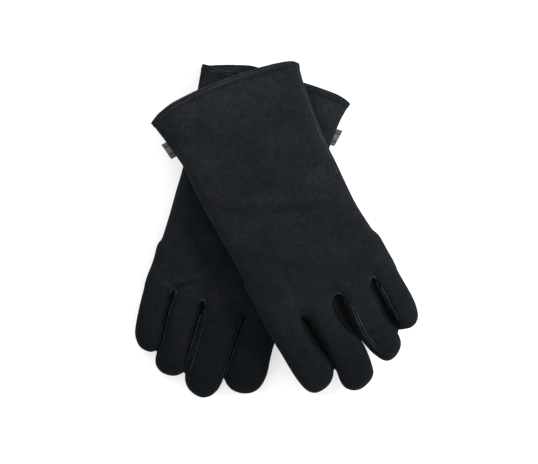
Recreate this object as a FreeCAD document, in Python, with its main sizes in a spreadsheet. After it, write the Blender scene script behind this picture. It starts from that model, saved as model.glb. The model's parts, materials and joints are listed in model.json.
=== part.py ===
import FreeCAD, Part
import Sketcher
import math
import os

# A pair of long gauntlet gloves for handling hot cookware, lying flat and palm down
# with the left glove crossed over the right one.  Millimetres, +Z up, the pair rests
# on z = 0.
#
# Each glove is drawn in its own axes: u (local X) runs from the cuff opening towards
# the fingertips, v runs across the glove and is positive towards the thumb side.
# Local Y is v on the right glove and -v on the left one.  "Palm" pieces lie below
# their "back" partners.

# ---------------------------------------------------------------- dimensions

SIZES = {
    # layers
    "leather": 1.3,
    "fit_gap": 0.15,            # air between leather and lining
    "seam_gap": 0.1,            # half the gap between two leather panels
    "lining": 1.6,
    "lining_inset": 0.3,        # the hand lining stops this short at both ends
    # hand and cuff
    "corner": 9.5,              # roll of the glove's long edges
    "hem_band": 6.0,            # width of the folded hem
    "hem_clear": 6.15,          # where the panels start behind the hem line
    "hem_cut_half": 98.0,       # the hem cuts reach this far to each side
    "hem_cut_far": 70.0,        # and end at this distance from u = 0
    "cut_through": 400.0,       # depth of a cut through everything
    "rest_start": 22.0,         # flat of the right cuff that the pair rests on
    "rest_end": 82.0,
    "rest_half": 58.0,
    "rest_thick": 0.7,
    # row of stitches behind the hem
    "stitch_run": 3.4,
    "stitch_wide": 0.9,
    "stitch_high": 0.5,
    "stitch_pitch": 5.3,
    "stitch_inset": 8.2,        # from the hem line
    "stitch_lift": 0.06,        # above the top of the cuff mouth
    # finger stubs of the hand
    "stub_root": 230.0,         # u where the leather stubs start
    "stub_lining_root": 228.5,
    "stub_stop": 15.4,          # from the end of a stub to the finger's hinge
    "little_stub_stop": 17.2,
    "stub_thinner": 0.3,        # a stub's half thickness below the finger's
    # fingers
    "finger_half": 12.0,        # half thickness
    "finger_back": 13.0,        # reach behind the hinge
    "finger_corner": 10.0,
    "finger_roll": 9.5,
    "door_step": 4.5,           # the base opening's sketch plane, from the rear end
    "door_side": 6.5,           # from the finger's sides to the opening
    "door_edge": 4.0,           # from the top and underside to the opening
    "door_corner": 2.5,
    "door_deep": 8.0,
    # side strips and the webs at the crotches
    "strip_half": 3.0,          # half height
    "strip_clear": 0.1,
    "strip_room": 0.4,          # side cut inside the leather wall
    "strip_cut_past": 2.0,      # side cut outside the leather wall
    "strip_start": -2.9,        # from the hinge
    "slot_end": 262.0,
    "crotch_u": 238.0,          # rear face of the webs
    "web_overlap": 0.15,
    "web_shorter": 4.0,         # web height below the finger thickness
    # thumb
    "thumb_half": 4.1,          # half thickness
    "thumb_wide": 15.0,         # half width
    "thumb_long": 64.0,
    "thumb_back": 14.0,
    "thumb_corner": 10.0,
    "thumb_roll": 3.2,
    "thumb_leather": 1.2,
    "thumb_lining": 1.0,
    "thumb_fit_gap": 0.1,
    "thumb_fold": 48.0,         # degrees the thumb is folded under the palm
    "thumb_gap": 0.4,           # air between thumb and palm
    "root_level": 0.6,          # the hole in the top of the thumb starts here
    "root_deep": 8.0,
    "root_half": 7.5,
    "root_lining_half": 6.5,
    "root_corner": 4.0,
    # matching hole in the palm
    "hole_long_half": 11.0,
    "hole_wide_half": 8.0,
    "hole_corner": 5.0,
    "hole_below": 1.0,          # the cut starts this far below the palm
    "hole_deep": 6.0,
    "hole_lining_deep": 8.0,
    "hole_lining_inset": 1.0,
    # loop label at the side of the cuff
    "label_long": 18.0,
    "label_reach": 4.6,
    "label_thick": 1.4,
    # shift of the whole pair
    "shift_x": -0.78,
    "shift_y": -1.4,
}

STITCHES_EACH_WAY = 12          # either side of the middle stitch
LINING_SHARE = 0.796875         # the lining's sleeve ends this far from palm to knuckle
MIRROR = {"right": 1.0, "left": -1.0}   # local Y = MIRROR * v
FINGERS = ["index", "middle", "ring", "little"]
FINGER_PAIRS = list(zip(FINGERS, FINGERS[1:]))
# sides of a finger that carry a strip: +1 thumb side, -1 little side
STRIP_SIDES = {"index": [-1], "middle": [-1, 1], "ring": [-1, 1], "little": [1]}

# Where each glove starts and turns in the world (mm, degrees), where its thumb and
# label sit, and how far the underside of the lining's stub roots rises.
GLOVE_FIELDS = ("start_x", "start_y", "turn", "thumb_u", "thumb_v",
                "root_rise", "label_u", "label_v", "label_z")
GLOVES = {
    "right": (2.1, 153.825, -106.353, 134.0, 50.0, 0.0, 36.5, 73.3, 12.0),
    "left": (-53.025, 143.325, -62.289, 134.0, 50.0, 1.8, 26.0, 78.1, 41.0),
}

# Cross sections: u, half width on the thumb side, half width on the little finger
# side, z of the underside, z of the top.
STATION_FIELDS = ("u", "thumbside", "littleside", "under", "top")
STATIONS = {
    "right": {
        "rim": (-11, 79.0, 79.0, 0.05, 24.0),
        "mouth": (18, 73.6, 77.5, 0.05, 24.0),
        "forearm": (50, 71.0, 75.0, 0.05, 24.8),
        "sleeve": (85, 73.0, 72.0, 0.05, 25.5),
        "wrist": (116, 73.0, 70.0, 8.9, 34.5),
        "heel": (160, 72.0, 69.6, 8.9, 35.5),
        "palm": (204, 72.5, 71.0, 8.9, 35.5),
        "knuckle": (236, 74.0, 74.0, 8.5, 32.5),
    },
    "left": {
        "rim": (-18, 83.0, 83.5, 26.8, 50.9),
        "mouth": (18, 77.5, 79.3, 27.0, 51.0),
        "forearm": (50, 72.8, 74.0, 35.6, 60.0),
        "sleeve": (85, 75.0, 69.5, 36.2, 62.2),
        "wrist": (116, 74.0, 68.3, 45.0, 71.0),
        "heel": (160, 72.0, 66.0, 45.0, 71.5),
        "palm": (204, 72.7, 70.0, 45.0, 71.5),
        "knuckle": (236, 73.5, 76.4, 37.5, 61.5),
    },
}

# The wavy hem line: u of each glove's line at these values of v.
HEM_V = {"far_thumb": 84.0, "thumb": 48.0, "inner": 16.0,
         "centre": -24.0, "outer": -60.0, "far_outer": -84.0}
HEM_U = {"right": (-2.2, -8.4, -9.0, -7.7, 1.5, 3.2),
         "left": (-8.0, -16.1, -15.3, -10.2, -3.0, 8.6)}

# Fingers: hinge u, hinge v, half width, length past the hinge, swing towards the
# thumb side and droop in degrees.
FINGER_FIELDS = ("u", "v", "half", "long", "swing", "droop")
FINGER_SIZES = {
    "right": {"index": (269.1, 55.3, 17.0, 53.0, -0.3, 8.0),
              "middle": (268.3, 13.7, 17.0, 70.3, -0.1, 8.0),
              "ring": (267.0, -26.1, 15.3, 59.3, 0.9, 8.0),
              "little": (269.9, -57.5, 13.0, 38.6, 2.0, 8.0)},
    "left": {"index": (267.0, 54.5, 16.0, 58.0, -1.8, 18.0),
             "middle": (271.2, 16.0, 16.5, 72.0, -0.3, 18.0),
             "ring": (272.5, -26.6, 15.5, 57.5, -1.4, 18.0),
             "little": (273.7, -60.2, 13.0, 36.0, 3.0, 18.0)},
}

# ------------------------------------------------------- values with formulas


class Driven:
    """A number together with the sheet expression that gives it."""

    def __init__(self, value, text):
        self.value = float(value)
        self.text = text

    def __add__(self, other):
        other = driven(other)
        return Driven(self.value + other.value, "(%s + %s)" % (self.text, other.text))

    def __sub__(self, other):
        other = driven(other)
        return Driven(self.value - other.value, "(%s - %s)" % (self.text, other.text))

    def __mul__(self, other):
        other = driven(other)
        return Driven(self.value * other.value, "(%s * %s)" % (self.text, other.text))

    def __rmul__(self, other):
        return driven(other) * self

    def __neg__(self):
        return Driven(-self.value, "(0 - %s)" % self.text)


def driven(number):
    return number if isinstance(number, Driven) else Driven(number, "%.6f" % number)


def cosine(angle):
    return Driven(math.cos(math.radians(angle.value)), "cos(%s)" % angle.text)


def sine(angle):
    return Driven(math.sin(math.radians(angle.value)), "sin(%s)" % angle.text)


Vec = FreeCAD.Vector
doc = FreeCAD.newDocument("glove_pair")
sheet = doc.addObject("Spreadsheet::Sheet", "Sizes")
cells = {}
bodies = []


def put(alias, value):
    row = len(cells) + 1
    sheet.set("A%d" % row, alias)
    sheet.set("B%d" % row, "%.4f" % value)
    sheet.setAlias("B%d" % row, alias)
    cells[alias] = Driven(round(value, 4), "Sizes." + alias)


def put_row(prefix, fields, values):
    for field, value in zip(fields, values):
        put("%s_%s" % (prefix, field), value)


def size(*words):
    return cells["_".join(words)]


def size_row(prefix, fields):
    return [size(prefix, field) for field in fields]


def fill_sheet():
    for alias, value in SIZES.items():
        put(alias, value)
    for side in MIRROR:
        put_row(side, GLOVE_FIELDS, GLOVES[side])
        for name, values in STATIONS[side].items():
            put_row("%s_%s" % (side, name), STATION_FIELDS, values)
        put_row(side + "_hem", HEM_V, HEM_U[side])
        for finger, values in FINGER_SIZES[side].items():
            put_row("%s_%s" % (side, finger), FINGER_FIELDS, values)
    doc.recompute()


# ------------------------------------------------- bodies, sketches, features
# Sketches and features are named after their body's label plus a suffix.


def make_body(label):
    body = doc.addObject("PartDesign::Body", "B_" + label)
    body.Label = label
    bodies.append(body)
    return body


def add_feature(body, kind, suffix):
    return body.newObject(kind, "%s_%s" % (body.Label, suffix))


def bind(obj, prop, number):
    setattr(obj, prop, number.value)
    obj.setExpression(prop, number.text)


def origin_plane(body, role):
    return next(f for f in body.Origin.OriginFeatures if f.Role == role)


def new_sketch(body, suffix, role, offset):
    sketch = add_feature(body, "Sketcher::SketchObject", suffix)
    sketch.AttachmentSupport = [(origin_plane(body, role), "")]
    sketch.MapMode = "FlatFace"
    offset = driven(offset)
    sketch.AttachmentOffset = FreeCAD.Placement(Vec(0, 0, offset.value), FreeCAD.Rotation())
    sketch.setExpression("AttachmentOffset.Base.z", offset.text)
    return sketch


def loft(body, suffix, sketches):
    feature = add_feature(body, "PartDesign::AdditiveLoft", suffix)
    feature.Profile = sketches[0]
    feature.Sections = sketches[1:]
    feature.Ruled = True
    body.Tip = feature


def extrude(body, kind, suffix, sketch, length, reverse=False, both=False):
    """kind is Pad or Pocket; with both, length is the total about the sketch plane."""
    feature = add_feature(body, "PartDesign::" + kind, suffix)
    feature.Profile = sketch
    bind(feature, "Length", driven(length))
    if both:
        feature.SideType = "Symmetric"
    feature.Reversed = reverse
    body.Tip = feature
    return feature


def opening(body, suffix, sketch, depth, reverse=False):
    """A pocket that has to remove material."""
    before = body.Shape.Volume
    extrude(body, "Pocket", suffix, sketch, depth, reverse=reverse)
    doc.recompute()
    if not body.Shape.Volume < before - 1.0:
        raise RuntimeError("opening missed: " + body.Label)


def place(body, side, u=0.0, v=0.0, z=0.0, swing=0.0, droop=0.0):
    """Moves a body's origin to (u, v) of its glove; swing turns it to the thumb side."""
    mirror = MIRROR[side]
    turn = size(side, "turn")
    x = (size(side, "start_x") + size("shift_x")
         + u * cosine(turn) - mirror * v * sine(turn))
    y = (size(side, "start_y") + size("shift_y")
         + u * sine(turn) + mirror * v * cosine(turn))
    z = driven(z)
    rotation = FreeCAD.Rotation(Vec(0, 0, 1), turn.value + mirror * swing).multiply(
        FreeCAD.Rotation(Vec(0, 1, 0), droop))
    body.Placement = FreeCAD.Placement(Vec(x.value, y.value, z.value), rotation)
    for axis, number in (("x", x), ("y", y), ("z", z)):
        body.setExpression("Placement.Base." + axis, number.text)


# --------------------------------------------------------------- sketch loops


def make_arc(start, end, arc):
    """The arc from start to end, and whether its own direction is the opposite one."""
    centre_x, centre_y = driven(arc[1]).value, driven(arc[2]).value
    start_x, start_y = driven(start[0]).value - centre_x, driven(start[1]).value - centre_y
    end_x, end_y = driven(end[0]).value - centre_x, driven(end[1]).value - centre_y
    cross = start_x * end_y - start_y * end_x
    ccw = cross > 0 or (abs(cross) < 1e-9 and arc[3:] == ("ccw",))
    angles = [math.atan2(start_y, start_x), math.atan2(end_y, end_x)]
    if not ccw:
        angles.reverse()
    circle = Part.Circle(Vec(centre_x, centre_y, 0), Vec(0, 0, 1),
                         math.hypot(start_x, start_y))
    return Part.ArcOfCircle(circle, *angles), not ccw


def closed_loop(sketch, items):
    """items: points (x, y), with ("arc", centre x, centre y) between the two points it
    joins.  A half circle also says "ccw"."""
    points = []
    arcs = {}
    for item in items:
        if item[0] == "arc":
            arcs[len(points) - 1] = item
        else:
            points.append(item)
    first = sketch.GeometryCount
    count = len(points)
    geometry = []
    flipped = []
    for k, start in enumerate(points):
        end = points[(k + 1) % count]
        if k in arcs:
            shape, flip = make_arc(start, end, arcs[k])
        else:
            ends = [Vec(driven(x).value, driven(y).value, 0) for x, y in (start, end)]
            shape, flip = Part.LineSegment(*ends), False
        geometry.append(shape)
        flipped.append(flip)
    sketch.addGeometry(geometry, False)

    constraints = []
    names = []

    def add(name, text, *arguments):
        constraints.append(Sketcher.Constraint(*arguments))
        names.append((name, text))

    def locate(prefix, k, vertex, axis, number):
        number = driven(number)
        if abs(number.value) < 1e-9:
            other_axis = -2 if axis == "x" else -1
            add(None, None, "PointOnObject", first + k, vertex, other_axis)
        else:
            add("%s%d_%d%s" % (prefix, first, k, axis), number.text,
                "Distance" + axis.upper(), -1, 1, first + k, vertex, number.value)

    for k in range(count):
        following = (k + 1) % count
        add(None, None, "Coincident", first + k, 1 if flipped[k] else 2,
            first + following, 2 if flipped[following] else 1)
    for k, (x, y) in enumerate(points):
        start_vertex = 2 if flipped[k] else 1
        locate("p", k, start_vertex, "x", x)
        locate("p", k, start_vertex, "y", y)
        if k in arcs:
            locate("c", k, 3, "x", arcs[k][1])
    for index, (name, text) in zip(sketch.addConstraint(constraints), names):
        if name:
            sketch.renameConstraint(index, name)
            sketch.setExpression("Constraints." + name, text)


def ordered(first, second):
    return (first, second) if first.value < second.value else (second, first)


def box_loop(sketch, x0, x1, y_one, y_other):
    y0, y1 = ordered(y_one, y_other)
    closed_loop(sketch, [(x0, y0), (x1, y0), (x1, y1), (x0, y1)])


def rounded_loop(sketch, low, high, bottom, top, radius):
    left, right = low + radius, high - radius
    lower, upper = bottom + radius, top - radius
    closed_loop(sketch, [
        (left, bottom), (right, bottom), ("arc", right, lower),
        (high, lower), (high, upper), ("arc", right, upper),
        (right, top), (left, top), ("arc", left, upper),
        (low, upper), (low, lower), ("arc", left, lower)])


def arch_loop(sketch, low, high, split, crown, roll, up):
    """Half of a hollow leather section: up = +1 is the back half, -1 the palm half."""
    wall = size("leather")
    up = float(up)
    foot = split + up * size("seam_gap")
    bend = crown - up * roll
    skin = crown - up * wall
    left, right = low + roll, high - roll
    closed_loop(sketch, [
        (high, foot), (high, bend), ("arc", right, bend), (right, crown),
        (left, crown), ("arc", left, bend), (low, bend), (low, foot),
        (low + wall, foot), (low + wall, bend), ("arc", left, bend), (left, skin),
        (right, skin), ("arc", right, bend), (high - wall, bend), (high - wall, foot)])


def pod_plan(sketch, half_width, length, back, corner):
    """Plan of a finger: rounded corners behind the hinge, half round at the tip."""
    tip, rear = length - half_width, -back + corner
    closed_loop(sketch, [
        (rear, -half_width), (tip, -half_width), ("arc", tip, 0.0, "ccw"),
        (tip, half_width), (rear, half_width), ("arc", rear, half_width - corner),
        (-back, half_width - corner), (-back, corner - half_width),
        ("arc", rear, corner - half_width)])


# ----------------------------------------------------------- shared relations


def station(side, name):
    return size_row("%s_%s" % (side, name), STATION_FIELDS)


def across(side, thumbside, littleside):
    """Local Y limits of a span given by its two half widths."""
    return ordered(MIRROR[side] * thumbside, -MIRROR[side] * littleside)


def lining_offsets():
    """From the outside of the leather to the outer and inner face of the lining."""
    outer = size("leather") + size("fit_gap")
    return outer, outer + size("lining")


def stub_end(side, finger):
    # clear of the finger's turning end
    stop = "little_stub_stop" if finger == "little" else "stub_stop"
    return size(side, finger, "u") - size(stop)


def middle_z(side):
    return (size(side, "knuckle_under") + size(side, "knuckle_top")) * 0.5


def stub_half():
    return size("finger_half") - size("stub_thinner")


def stub_span(side, finger, inset):
    centre = size(side, finger, "v")
    half = size(side, finger, "half") - inset
    return ordered(MIRROR[side] * (centre - half), MIRROR[side] * (centre + half))


def facing_walls(side, finger, neighbour):
    """v of the outer faces on both sides of the gap between two fingers."""
    near = size(side, finger, "v") - size(side, finger, "half")
    far = size(side, neighbour, "v") + size(side, neighbour, "half")
    return near, far


def hem_cut(body, side, prefix, delta, keep_fingerward):
    """Cuts along the hem line moved by delta, keeping the finger or the cuff side."""
    mirror = MIRROR[side]
    half = size("hem_cut_half")
    far = -size("hem_cut_far") if keep_fingerward else size("hem_cut_far")
    v_values = [half] + list(HEM_V.values())[1:-1] + [-half]
    points = [(size(side, "hem", name) + delta, mirror * v)
              for name, v in zip(HEM_V, v_values)]
    points += [(far, -mirror * half), (far, mirror * half)]
    sketch = new_sketch(body, prefix + "hem", "XY_Plane", 0.0)
    closed_loop(sketch, points)
    extrude(body, "Pocket", prefix + "hemcut", sketch, size("cut_through"), both=True)


def hem_at(side, v):
    """u of the hem line at v."""
    line = list(HEM_V.items())
    for (name0, v0), (name1, v1) in zip(line, line[1:]):
        if v1 <= v <= v0:
            share = (v0 - v) / (v0 - v1)
            return (size(side, "hem", name0) * (1.0 - share)
                    + size(side, "hem", name1) * share)
    raise RuntimeError("outside the hem line")


def thumb_hole(body, side, inset, depth):
    """Hole through the underside of the hand, above the root of the thumb."""
    sketch = new_sketch(body, "thumbhole", "XY_Plane",
                        size(side, "heel_under") - size("hole_below"))
    u = size(side, "thumb_u")
    centre = MIRROR[side] * size(side, "thumb_v")
    half_long = size("hole_long_half") - inset
    half_wide = size("hole_wide_half") - inset
    rounded_loop(sketch, u - half_long, u + half_long,
                 centre - half_wide, centre + half_wide, size("hole_corner"))
    extrude(body, "Pocket", "thumbholecut", sketch, depth, reverse=True)


# ------------------------------------------------------------- hand and cuff


def panel_stub(body, side, finger, up):
    low, high = stub_span(side, finger, 0.0)
    split = middle_z(side)
    pair = []
    for end, u in (("root", size("stub_root")), ("end", stub_end(side, finger))):
        sketch = new_sketch(body, "%s_%s" % (finger, end), "YZ_Plane", u)
        arch_loop(sketch, low, high, split, split + up * stub_half(),
                  size("finger_roll"), up)
        pair.append(sketch)
    doc.recompute()
    loft(body, finger + "_stub", pair)


def strip_slot(body, side, finger, neighbour):
    """Slot along two neighbouring stubs that the side strips fill."""
    sketch = new_sketch(body, finger + "_slot", "XY_Plane", middle_z(side))
    near, far = facing_walls(side, finger, neighbour)
    clear = size("strip_clear")
    depth = size("leather") + clear
    box_loop(sketch, size("crotch_u") - clear, size("slot_end"),
             MIRROR[side] * (near + depth), MIRROR[side] * (far - depth))
    extrude(body, "Pocket", finger + "_slotcut", sketch, size("strip_half") * 2.0, both=True)


def hand_panel(side, word, up):
    body = make_body("%s_%s_panel" % (side, word))
    sketches = []
    for name in STATIONS[side]:
        u, thumbside, littleside, under, top = station(side, name)
        low, high = across(side, thumbside, littleside)
        sketch = new_sketch(body, name, "YZ_Plane", u)
        arch_loop(sketch, low, high, (under + top) * 0.5, top if up > 0 else under,
                  size("corner"), up)
        sketches.append(sketch)
    doc.recompute()
    loft(body, "shell", sketches)
    for finger in FINGERS:
        panel_stub(body, side, finger, up)
    doc.recompute()
    hem_cut(body, side, "", size("hem_clear"), True)
    for finger, neighbour in FINGER_PAIRS:
        strip_slot(body, side, finger, neighbour)
    if up < 0:
        thumb_hole(body, side, 0.0, size("hole_deep"))
    if up < 0 and side == "right":
        sketch = new_sketch(body, "rest", "XY_Plane", 0.0)
        box_loop(sketch, size("rest_start"), size("rest_end"),
                 -size("rest_half"), size("rest_half"))
        extrude(body, "Pad", "restflat", sketch, size("rest_thick"))
    place(body, side)


def ring_shell(body, side, sections, outer, inner):
    """Closed tube through the sections, between two offsets from the outside."""
    sketches = []
    for name, (u, thumbside, littleside, under, top) in sections.items():
        low, high = across(side, thumbside, littleside)
        sketch = new_sketch(body, name, "YZ_Plane", u)
        for inset in (outer, inner):
            rounded_loop(sketch, low + inset, high - inset, under + inset, top - inset,
                         size("corner") - inset)
        sketches.append(sketch)
    doc.recompute()
    loft(body, "shell", sketches)


def lining_stub(body, side, finger):
    split = middle_z(side)
    half = stub_half()
    # the underside of the root follows the rise of the palm leather
    ends = (("root", size("stub_lining_root"), size(side, "root_rise")),
            ("end", stub_end(side, finger) - size("lining_inset"), 0.0))
    pair = []
    for end, u, rise in ends:
        sketch = new_sketch(body, "%s_%s" % (finger, end), "YZ_Plane", u)
        for inset in lining_offsets():
            low, high = stub_span(side, finger, inset)
            rounded_loop(sketch, low, high, split - half + inset + rise,
                         split + half - inset, size("finger_roll") - inset)
        pair.append(sketch)
    doc.recompute()
    loft(body, finger + "_stub", pair)


def hand_lining(side):
    body = make_body(side + "_hand_lining")
    names = ["sleeve", "wrist", "heel", "palm", "knuckle"]
    sections = {name: station(side, name) for name in names}
    sections["sleeve"][0] = sections["sleeve"][0] + size("lining_inset")
    # the sleeve ends just short of the roots of the leather stubs
    sections["knuckle"] = [
        palm * (1.0 - LINING_SHARE) + knuckle * LINING_SHARE
        for palm, knuckle in zip(sections["palm"], sections["knuckle"])]
    ring_shell(body, side, sections, *lining_offsets())
    for finger in FINGERS:
        lining_stub(body, side, finger)
    thumb_hole(body, side, size("hole_lining_inset"), size("hole_lining_deep"))
    place(body, side)


def cuff_lining(side):
    body = make_body(side + "_cuff_lining")
    names = ["rim", "mouth", "forearm", "sleeve"]
    sections = {name: station(side, name) for name in names}
    ring_shell(body, side, sections, *lining_offsets())
    doc.recompute()
    hem_cut(body, side, "", size("hem_clear"), True)
    place(body, side)


def cuff_hem(side):
    """Folded band around the opening, as thick as leather and lining together."""
    body = make_body(side + "_cuff_hem")
    sections = {name: station(side, name) for name in ("rim", "mouth")}
    ring_shell(body, side, sections, driven(0.0), lining_offsets()[1])
    doc.recompute()
    hem_cut(body, side, "mouth_", 0.0, True)
    hem_cut(body, side, "back_", size("hem_band"), False)
    place(body, side)


def hem_stitches(side):
    """Row of separate stitches on top of the cuff, following the hem line."""
    body = make_body(side + "_hem_stitches")
    sketch = new_sketch(body, "row", "XY_Plane",
                        size(side, "mouth_top") + size("stitch_lift"))
    pitch = size("stitch_pitch")
    half_wide = size("stitch_wide") * 0.5
    half_run = size("stitch_run") * 0.5
    for k in range(-STITCHES_EACH_WAY, STITCHES_EACH_WAY + 1):
        u = hem_at(side, k * pitch.value) + size("stitch_inset")
        centre = MIRROR[side] * k * pitch
        box_loop(sketch, u - half_wide, u + half_wide, centre - half_run, centre + half_run)
    doc.recompute()
    extrude(body, "Pad", "thread", sketch, size("stitch_high"))
    place(body, side)


def side_label(side):
    """Small tab standing out from the thumb side of the cuff."""
    body = make_body(side + "_side_label")
    u, v, z = size_row(side + "_label", ("u", "v", "z"))
    half = size("label_long") * 0.5
    sketch = new_sketch(body, "plan", "XY_Plane", z)
    box_loop(sketch, u - half, u + half,
             MIRROR[side] * v, MIRROR[side] * (v + size("label_reach")))
    doc.recompute()
    extrude(body, "Pad", "loop", sketch, size("label_thick"), both=True)
    place(body, side)


def strip_height():
    return (size("strip_half") - size("strip_clear")) * 2.0


def crotch_strip(side, finger, neighbour):
    """Strip between two fingers: a leg along each stub and a web at the crotch."""
    body = make_body("%s_%s_%s_fourchette" % (side, finger, neighbour))
    mirror = MIRROR[side]
    wall = size("leather")
    split = middle_z(side)
    near, far = facing_walls(side, finger, neighbour)
    near_end, far_end = stub_end(side, finger), stub_end(side, neighbour)
    rear = size("crotch_u")
    sketch = new_sketch(body, "legs", "XY_Plane", split)
    closed_loop(sketch, [
        (rear, mirror * (near + wall)), (near_end, mirror * (near + wall)),
        (near_end, mirror * near), (rear + wall, mirror * near),
        (rear + wall, mirror * far), (far_end, mirror * far),
        (far_end, mirror * (far - wall)), (rear, mirror * (far - wall))])
    doc.recompute()
    extrude(body, "Pad", "strip", sketch, strip_height(), both=True)
    sketch = new_sketch(body, "webplan", "XY_Plane", split)
    overlap = size("web_overlap")
    box_loop(sketch, rear, rear + wall, mirror * (near - overlap), mirror * (far + overlap))
    doc.recompute()
    extrude(body, "Pad", "web", sketch, size("finger_half") * 2.0 - size("web_shorter"),
            both=True)
    place(body, side)


# ---------------------------------------------------------- fingers and thumb
# A pod is the hollow shape of a finger or thumb, drawn around its hinge.  Its sizes
# are (half width, length, back, corner, half thickness, roll).


def level_edges(shape, z):
    return ["Edge%d" % k for k, edge in enumerate(shape.Edges, 1)
            if all(abs(vertex.Z - z) < 1e-6 for vertex in edge.Vertexes)]


def level_faces(shape, z):
    return ["Face%d" % k for k, face in enumerate(shape.Faces, 1)
            if face.Surface.TypeId == "Part::GeomPlane"
            and abs(face.CenterOfMass.z - z) < 1e-6]


def half_pod(body, pod, wall, foot, up):
    """Upper (up = 1) or lower (-1) half of a pod, open at its foot near z = 0."""
    half_width, length, back, corner, half, roll = pod
    up = float(up)
    sketch = new_sketch(body, "plan", "XY_Plane", up * foot)
    pod_plan(sketch, half_width, length, back, corner)
    doc.recompute()
    block = extrude(body, "Pad", "block", sketch, half - foot, reverse=(up < 0))
    doc.recompute()
    fillet = add_feature(body, "PartDesign::Fillet", "roll")
    fillet.Base = (block, level_edges(block.Shape, up * half.value))
    bind(fillet, "Radius", roll)
    body.Tip = fillet
    doc.recompute()
    skin = add_feature(body, "PartDesign::Thickness", "skin")
    skin.Base = (fillet, level_faces(fillet.Shape, up * foot.value))
    bind(skin, "Value", wall)
    skin.Mode = 0
    skin.Join = 0
    skin.Reversed = True
    body.Tip = skin
    doc.recompute()
    if not skin.Shape.Volume < 0.7 * fillet.Shape.Volume:
        raise RuntimeError("not hollow: " + body.Label)
    return skin


def lining_pod(body, pod, wall):
    half = half_pod(body, pod, wall, driven(0.0), 1)
    mirrored = add_feature(body, "PartDesign::Mirrored", "both")
    mirrored.MirrorPlane = (origin_plane(body, "XY_Plane"), [""])
    mirrored.TransformMode = "Whole shape"
    body.Tip = mirrored
    doc.recompute()
    if not mirrored.Shape.Volume > 1.9 * half.Shape.Volume:
        raise RuntimeError("lining not mirrored: " + body.Label)


def base_opening(body, pod):
    """Opening in the rear end of a finger, towards the hand."""
    half_width, _, back, _, half, _ = pod
    sketch = new_sketch(body, "door", "YZ_Plane", -back + size("door_step"))
    y = half_width - size("door_side")
    z = half - size("door_edge")
    rounded_loop(sketch, -y, y, -z, z, size("door_corner"))
    opening(body, "doorcut", sketch, size("door_deep"))


def side_cut(body, side, finger, strip_side):
    """Long cut in the side of a finger where its strip lies."""
    direction = strip_side * MIRROR[side]
    word = "high" if direction > 0 else "low"
    half_width = size(side, finger, "half")
    clear = size("strip_clear")
    sketch = new_sketch(body, "cut_" + word, "XY_Plane", 0.0)
    box_loop(sketch, size("strip_start") - clear,
             size(side, finger, "long") - half_width + clear,
             direction * (half_width - size("leather") - size("strip_room")),
             direction * (half_width + size("strip_cut_past")))
    extrude(body, "Pocket", "side_" + word, sketch, size("strip_half") * 2.0, both=True)


def finger_strips(body, side, finger):
    half_width = size(side, finger, "half")
    sketch = new_sketch(body, "plan", "XY_Plane", 0.0)
    for strip_side in STRIP_SIDES[finger]:
        direction = strip_side * MIRROR[side]
        box_loop(sketch, size("strip_start"), size(side, finger, "long") - half_width,
                 direction * (half_width - size("leather")), direction * half_width)
    doc.recompute()
    extrude(body, "Pad", "strip", sketch, strip_height(), both=True)


def make_finger(side, finger):
    u, v, half_width, length, swing, droop = size_row("%s_%s" % (side, finger),
                                                      FINGER_FIELDS)
    pod = [half_width, length, size("finger_back"), size("finger_corner"),
           size("finger_half"), size("finger_roll")]
    seat = dict(side=side, u=u, v=v, z=middle_z(side), swing=swing.value, droop=droop.value)
    prefix = "%s_%s_" % (side, finger)

    for word, up in (("back", 1), ("palm", -1)):
        body = make_body(prefix + word)
        half_pod(body, pod, size("leather"), size("seam_gap"), up)
        base_opening(body, pod)
        for strip_side in STRIP_SIDES[finger]:
            side_cut(body, side, finger, strip_side)
        place(body, **seat)

    body = make_body(prefix + "fourchette")
    finger_strips(body, side, finger)
    place(body, **seat)

    body = make_body(prefix + "lining")
    gap = lining_offsets()[0]
    lining = [number - gap for number in pod]
    lining_pod(body, lining, size("lining"))
    base_opening(body, lining)
    place(body, **seat)


def root_hole(body, reach):
    """Hole through the top of the thumb, under the hole in the palm."""
    sketch = new_sketch(body, "root", "XY_Plane", size("root_level"))
    rounded_loop(sketch, -reach, reach, -reach, reach, size("root_corner"))
    opening(body, "rootcut", sketch, size("root_deep"), reverse=True)


def make_thumb(side):
    pod = size_row("thumb", ("wide", "long", "back", "corner", "half", "roll"))
    seat = dict(side=side, u=size(side, "thumb_u"), v=size(side, "thumb_v"),
                z=size(side, "heel_under") - size("thumb_half") - size("thumb_gap"),
                swing=-size("thumb_fold").value)

    # the outer piece is the upper one, against the palm
    for word, up in (("outer", 1), ("inner", -1)):
        body = make_body("%s_thumb_%s" % (side, word))
        half_pod(body, pod, size("thumb_leather"), size("seam_gap"), up)
        if up > 0:
            root_hole(body, size("root_half"))
        place(body, **seat)

    body = make_body(side + "_thumb_lining")
    gap = size("thumb_leather") + size("thumb_fit_gap")
    lining_pod(body, [number - gap for number in pod], size("thumb_lining"))
    root_hole(body, size("root_lining_half"))
    place(body, **seat)


# ------------------------------------------------------------ build and export


def make_glove(side):
    hand_panel(side, "back", 1)
    hand_panel(side, "palm", -1)
    hand_lining(side)
    cuff_lining(side)
    cuff_hem(side)
    hem_stitches(side)
    side_label(side)
    for finger, neighbour in FINGER_PAIRS:
        crotch_strip(side, finger, neighbour)
    for finger in FINGERS:
        make_finger(side, finger)
    make_thumb(side)


def check_pieces():
    problems = ["%s: %s" % (obj.Label, obj.State) for obj in doc.Objects
                if "Invalid" in obj.State or "Error" in obj.State]
    problems += ["%s: bad shape" % body.Label for body in bodies
                 if body.Shape.isNull() or not body.Shape.isValid()]
    if problems:
        raise RuntimeError("the part has problems:\n" + "\n".join(problems))


fill_sheet()
for side in MIRROR:
    make_glove(side)
doc.recompute()
check_pieces()

os.makedirs("parts", exist_ok=True)
for body in bodies:
    body.Shape.exportStep("parts/%s.step" % body.Label)
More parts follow.
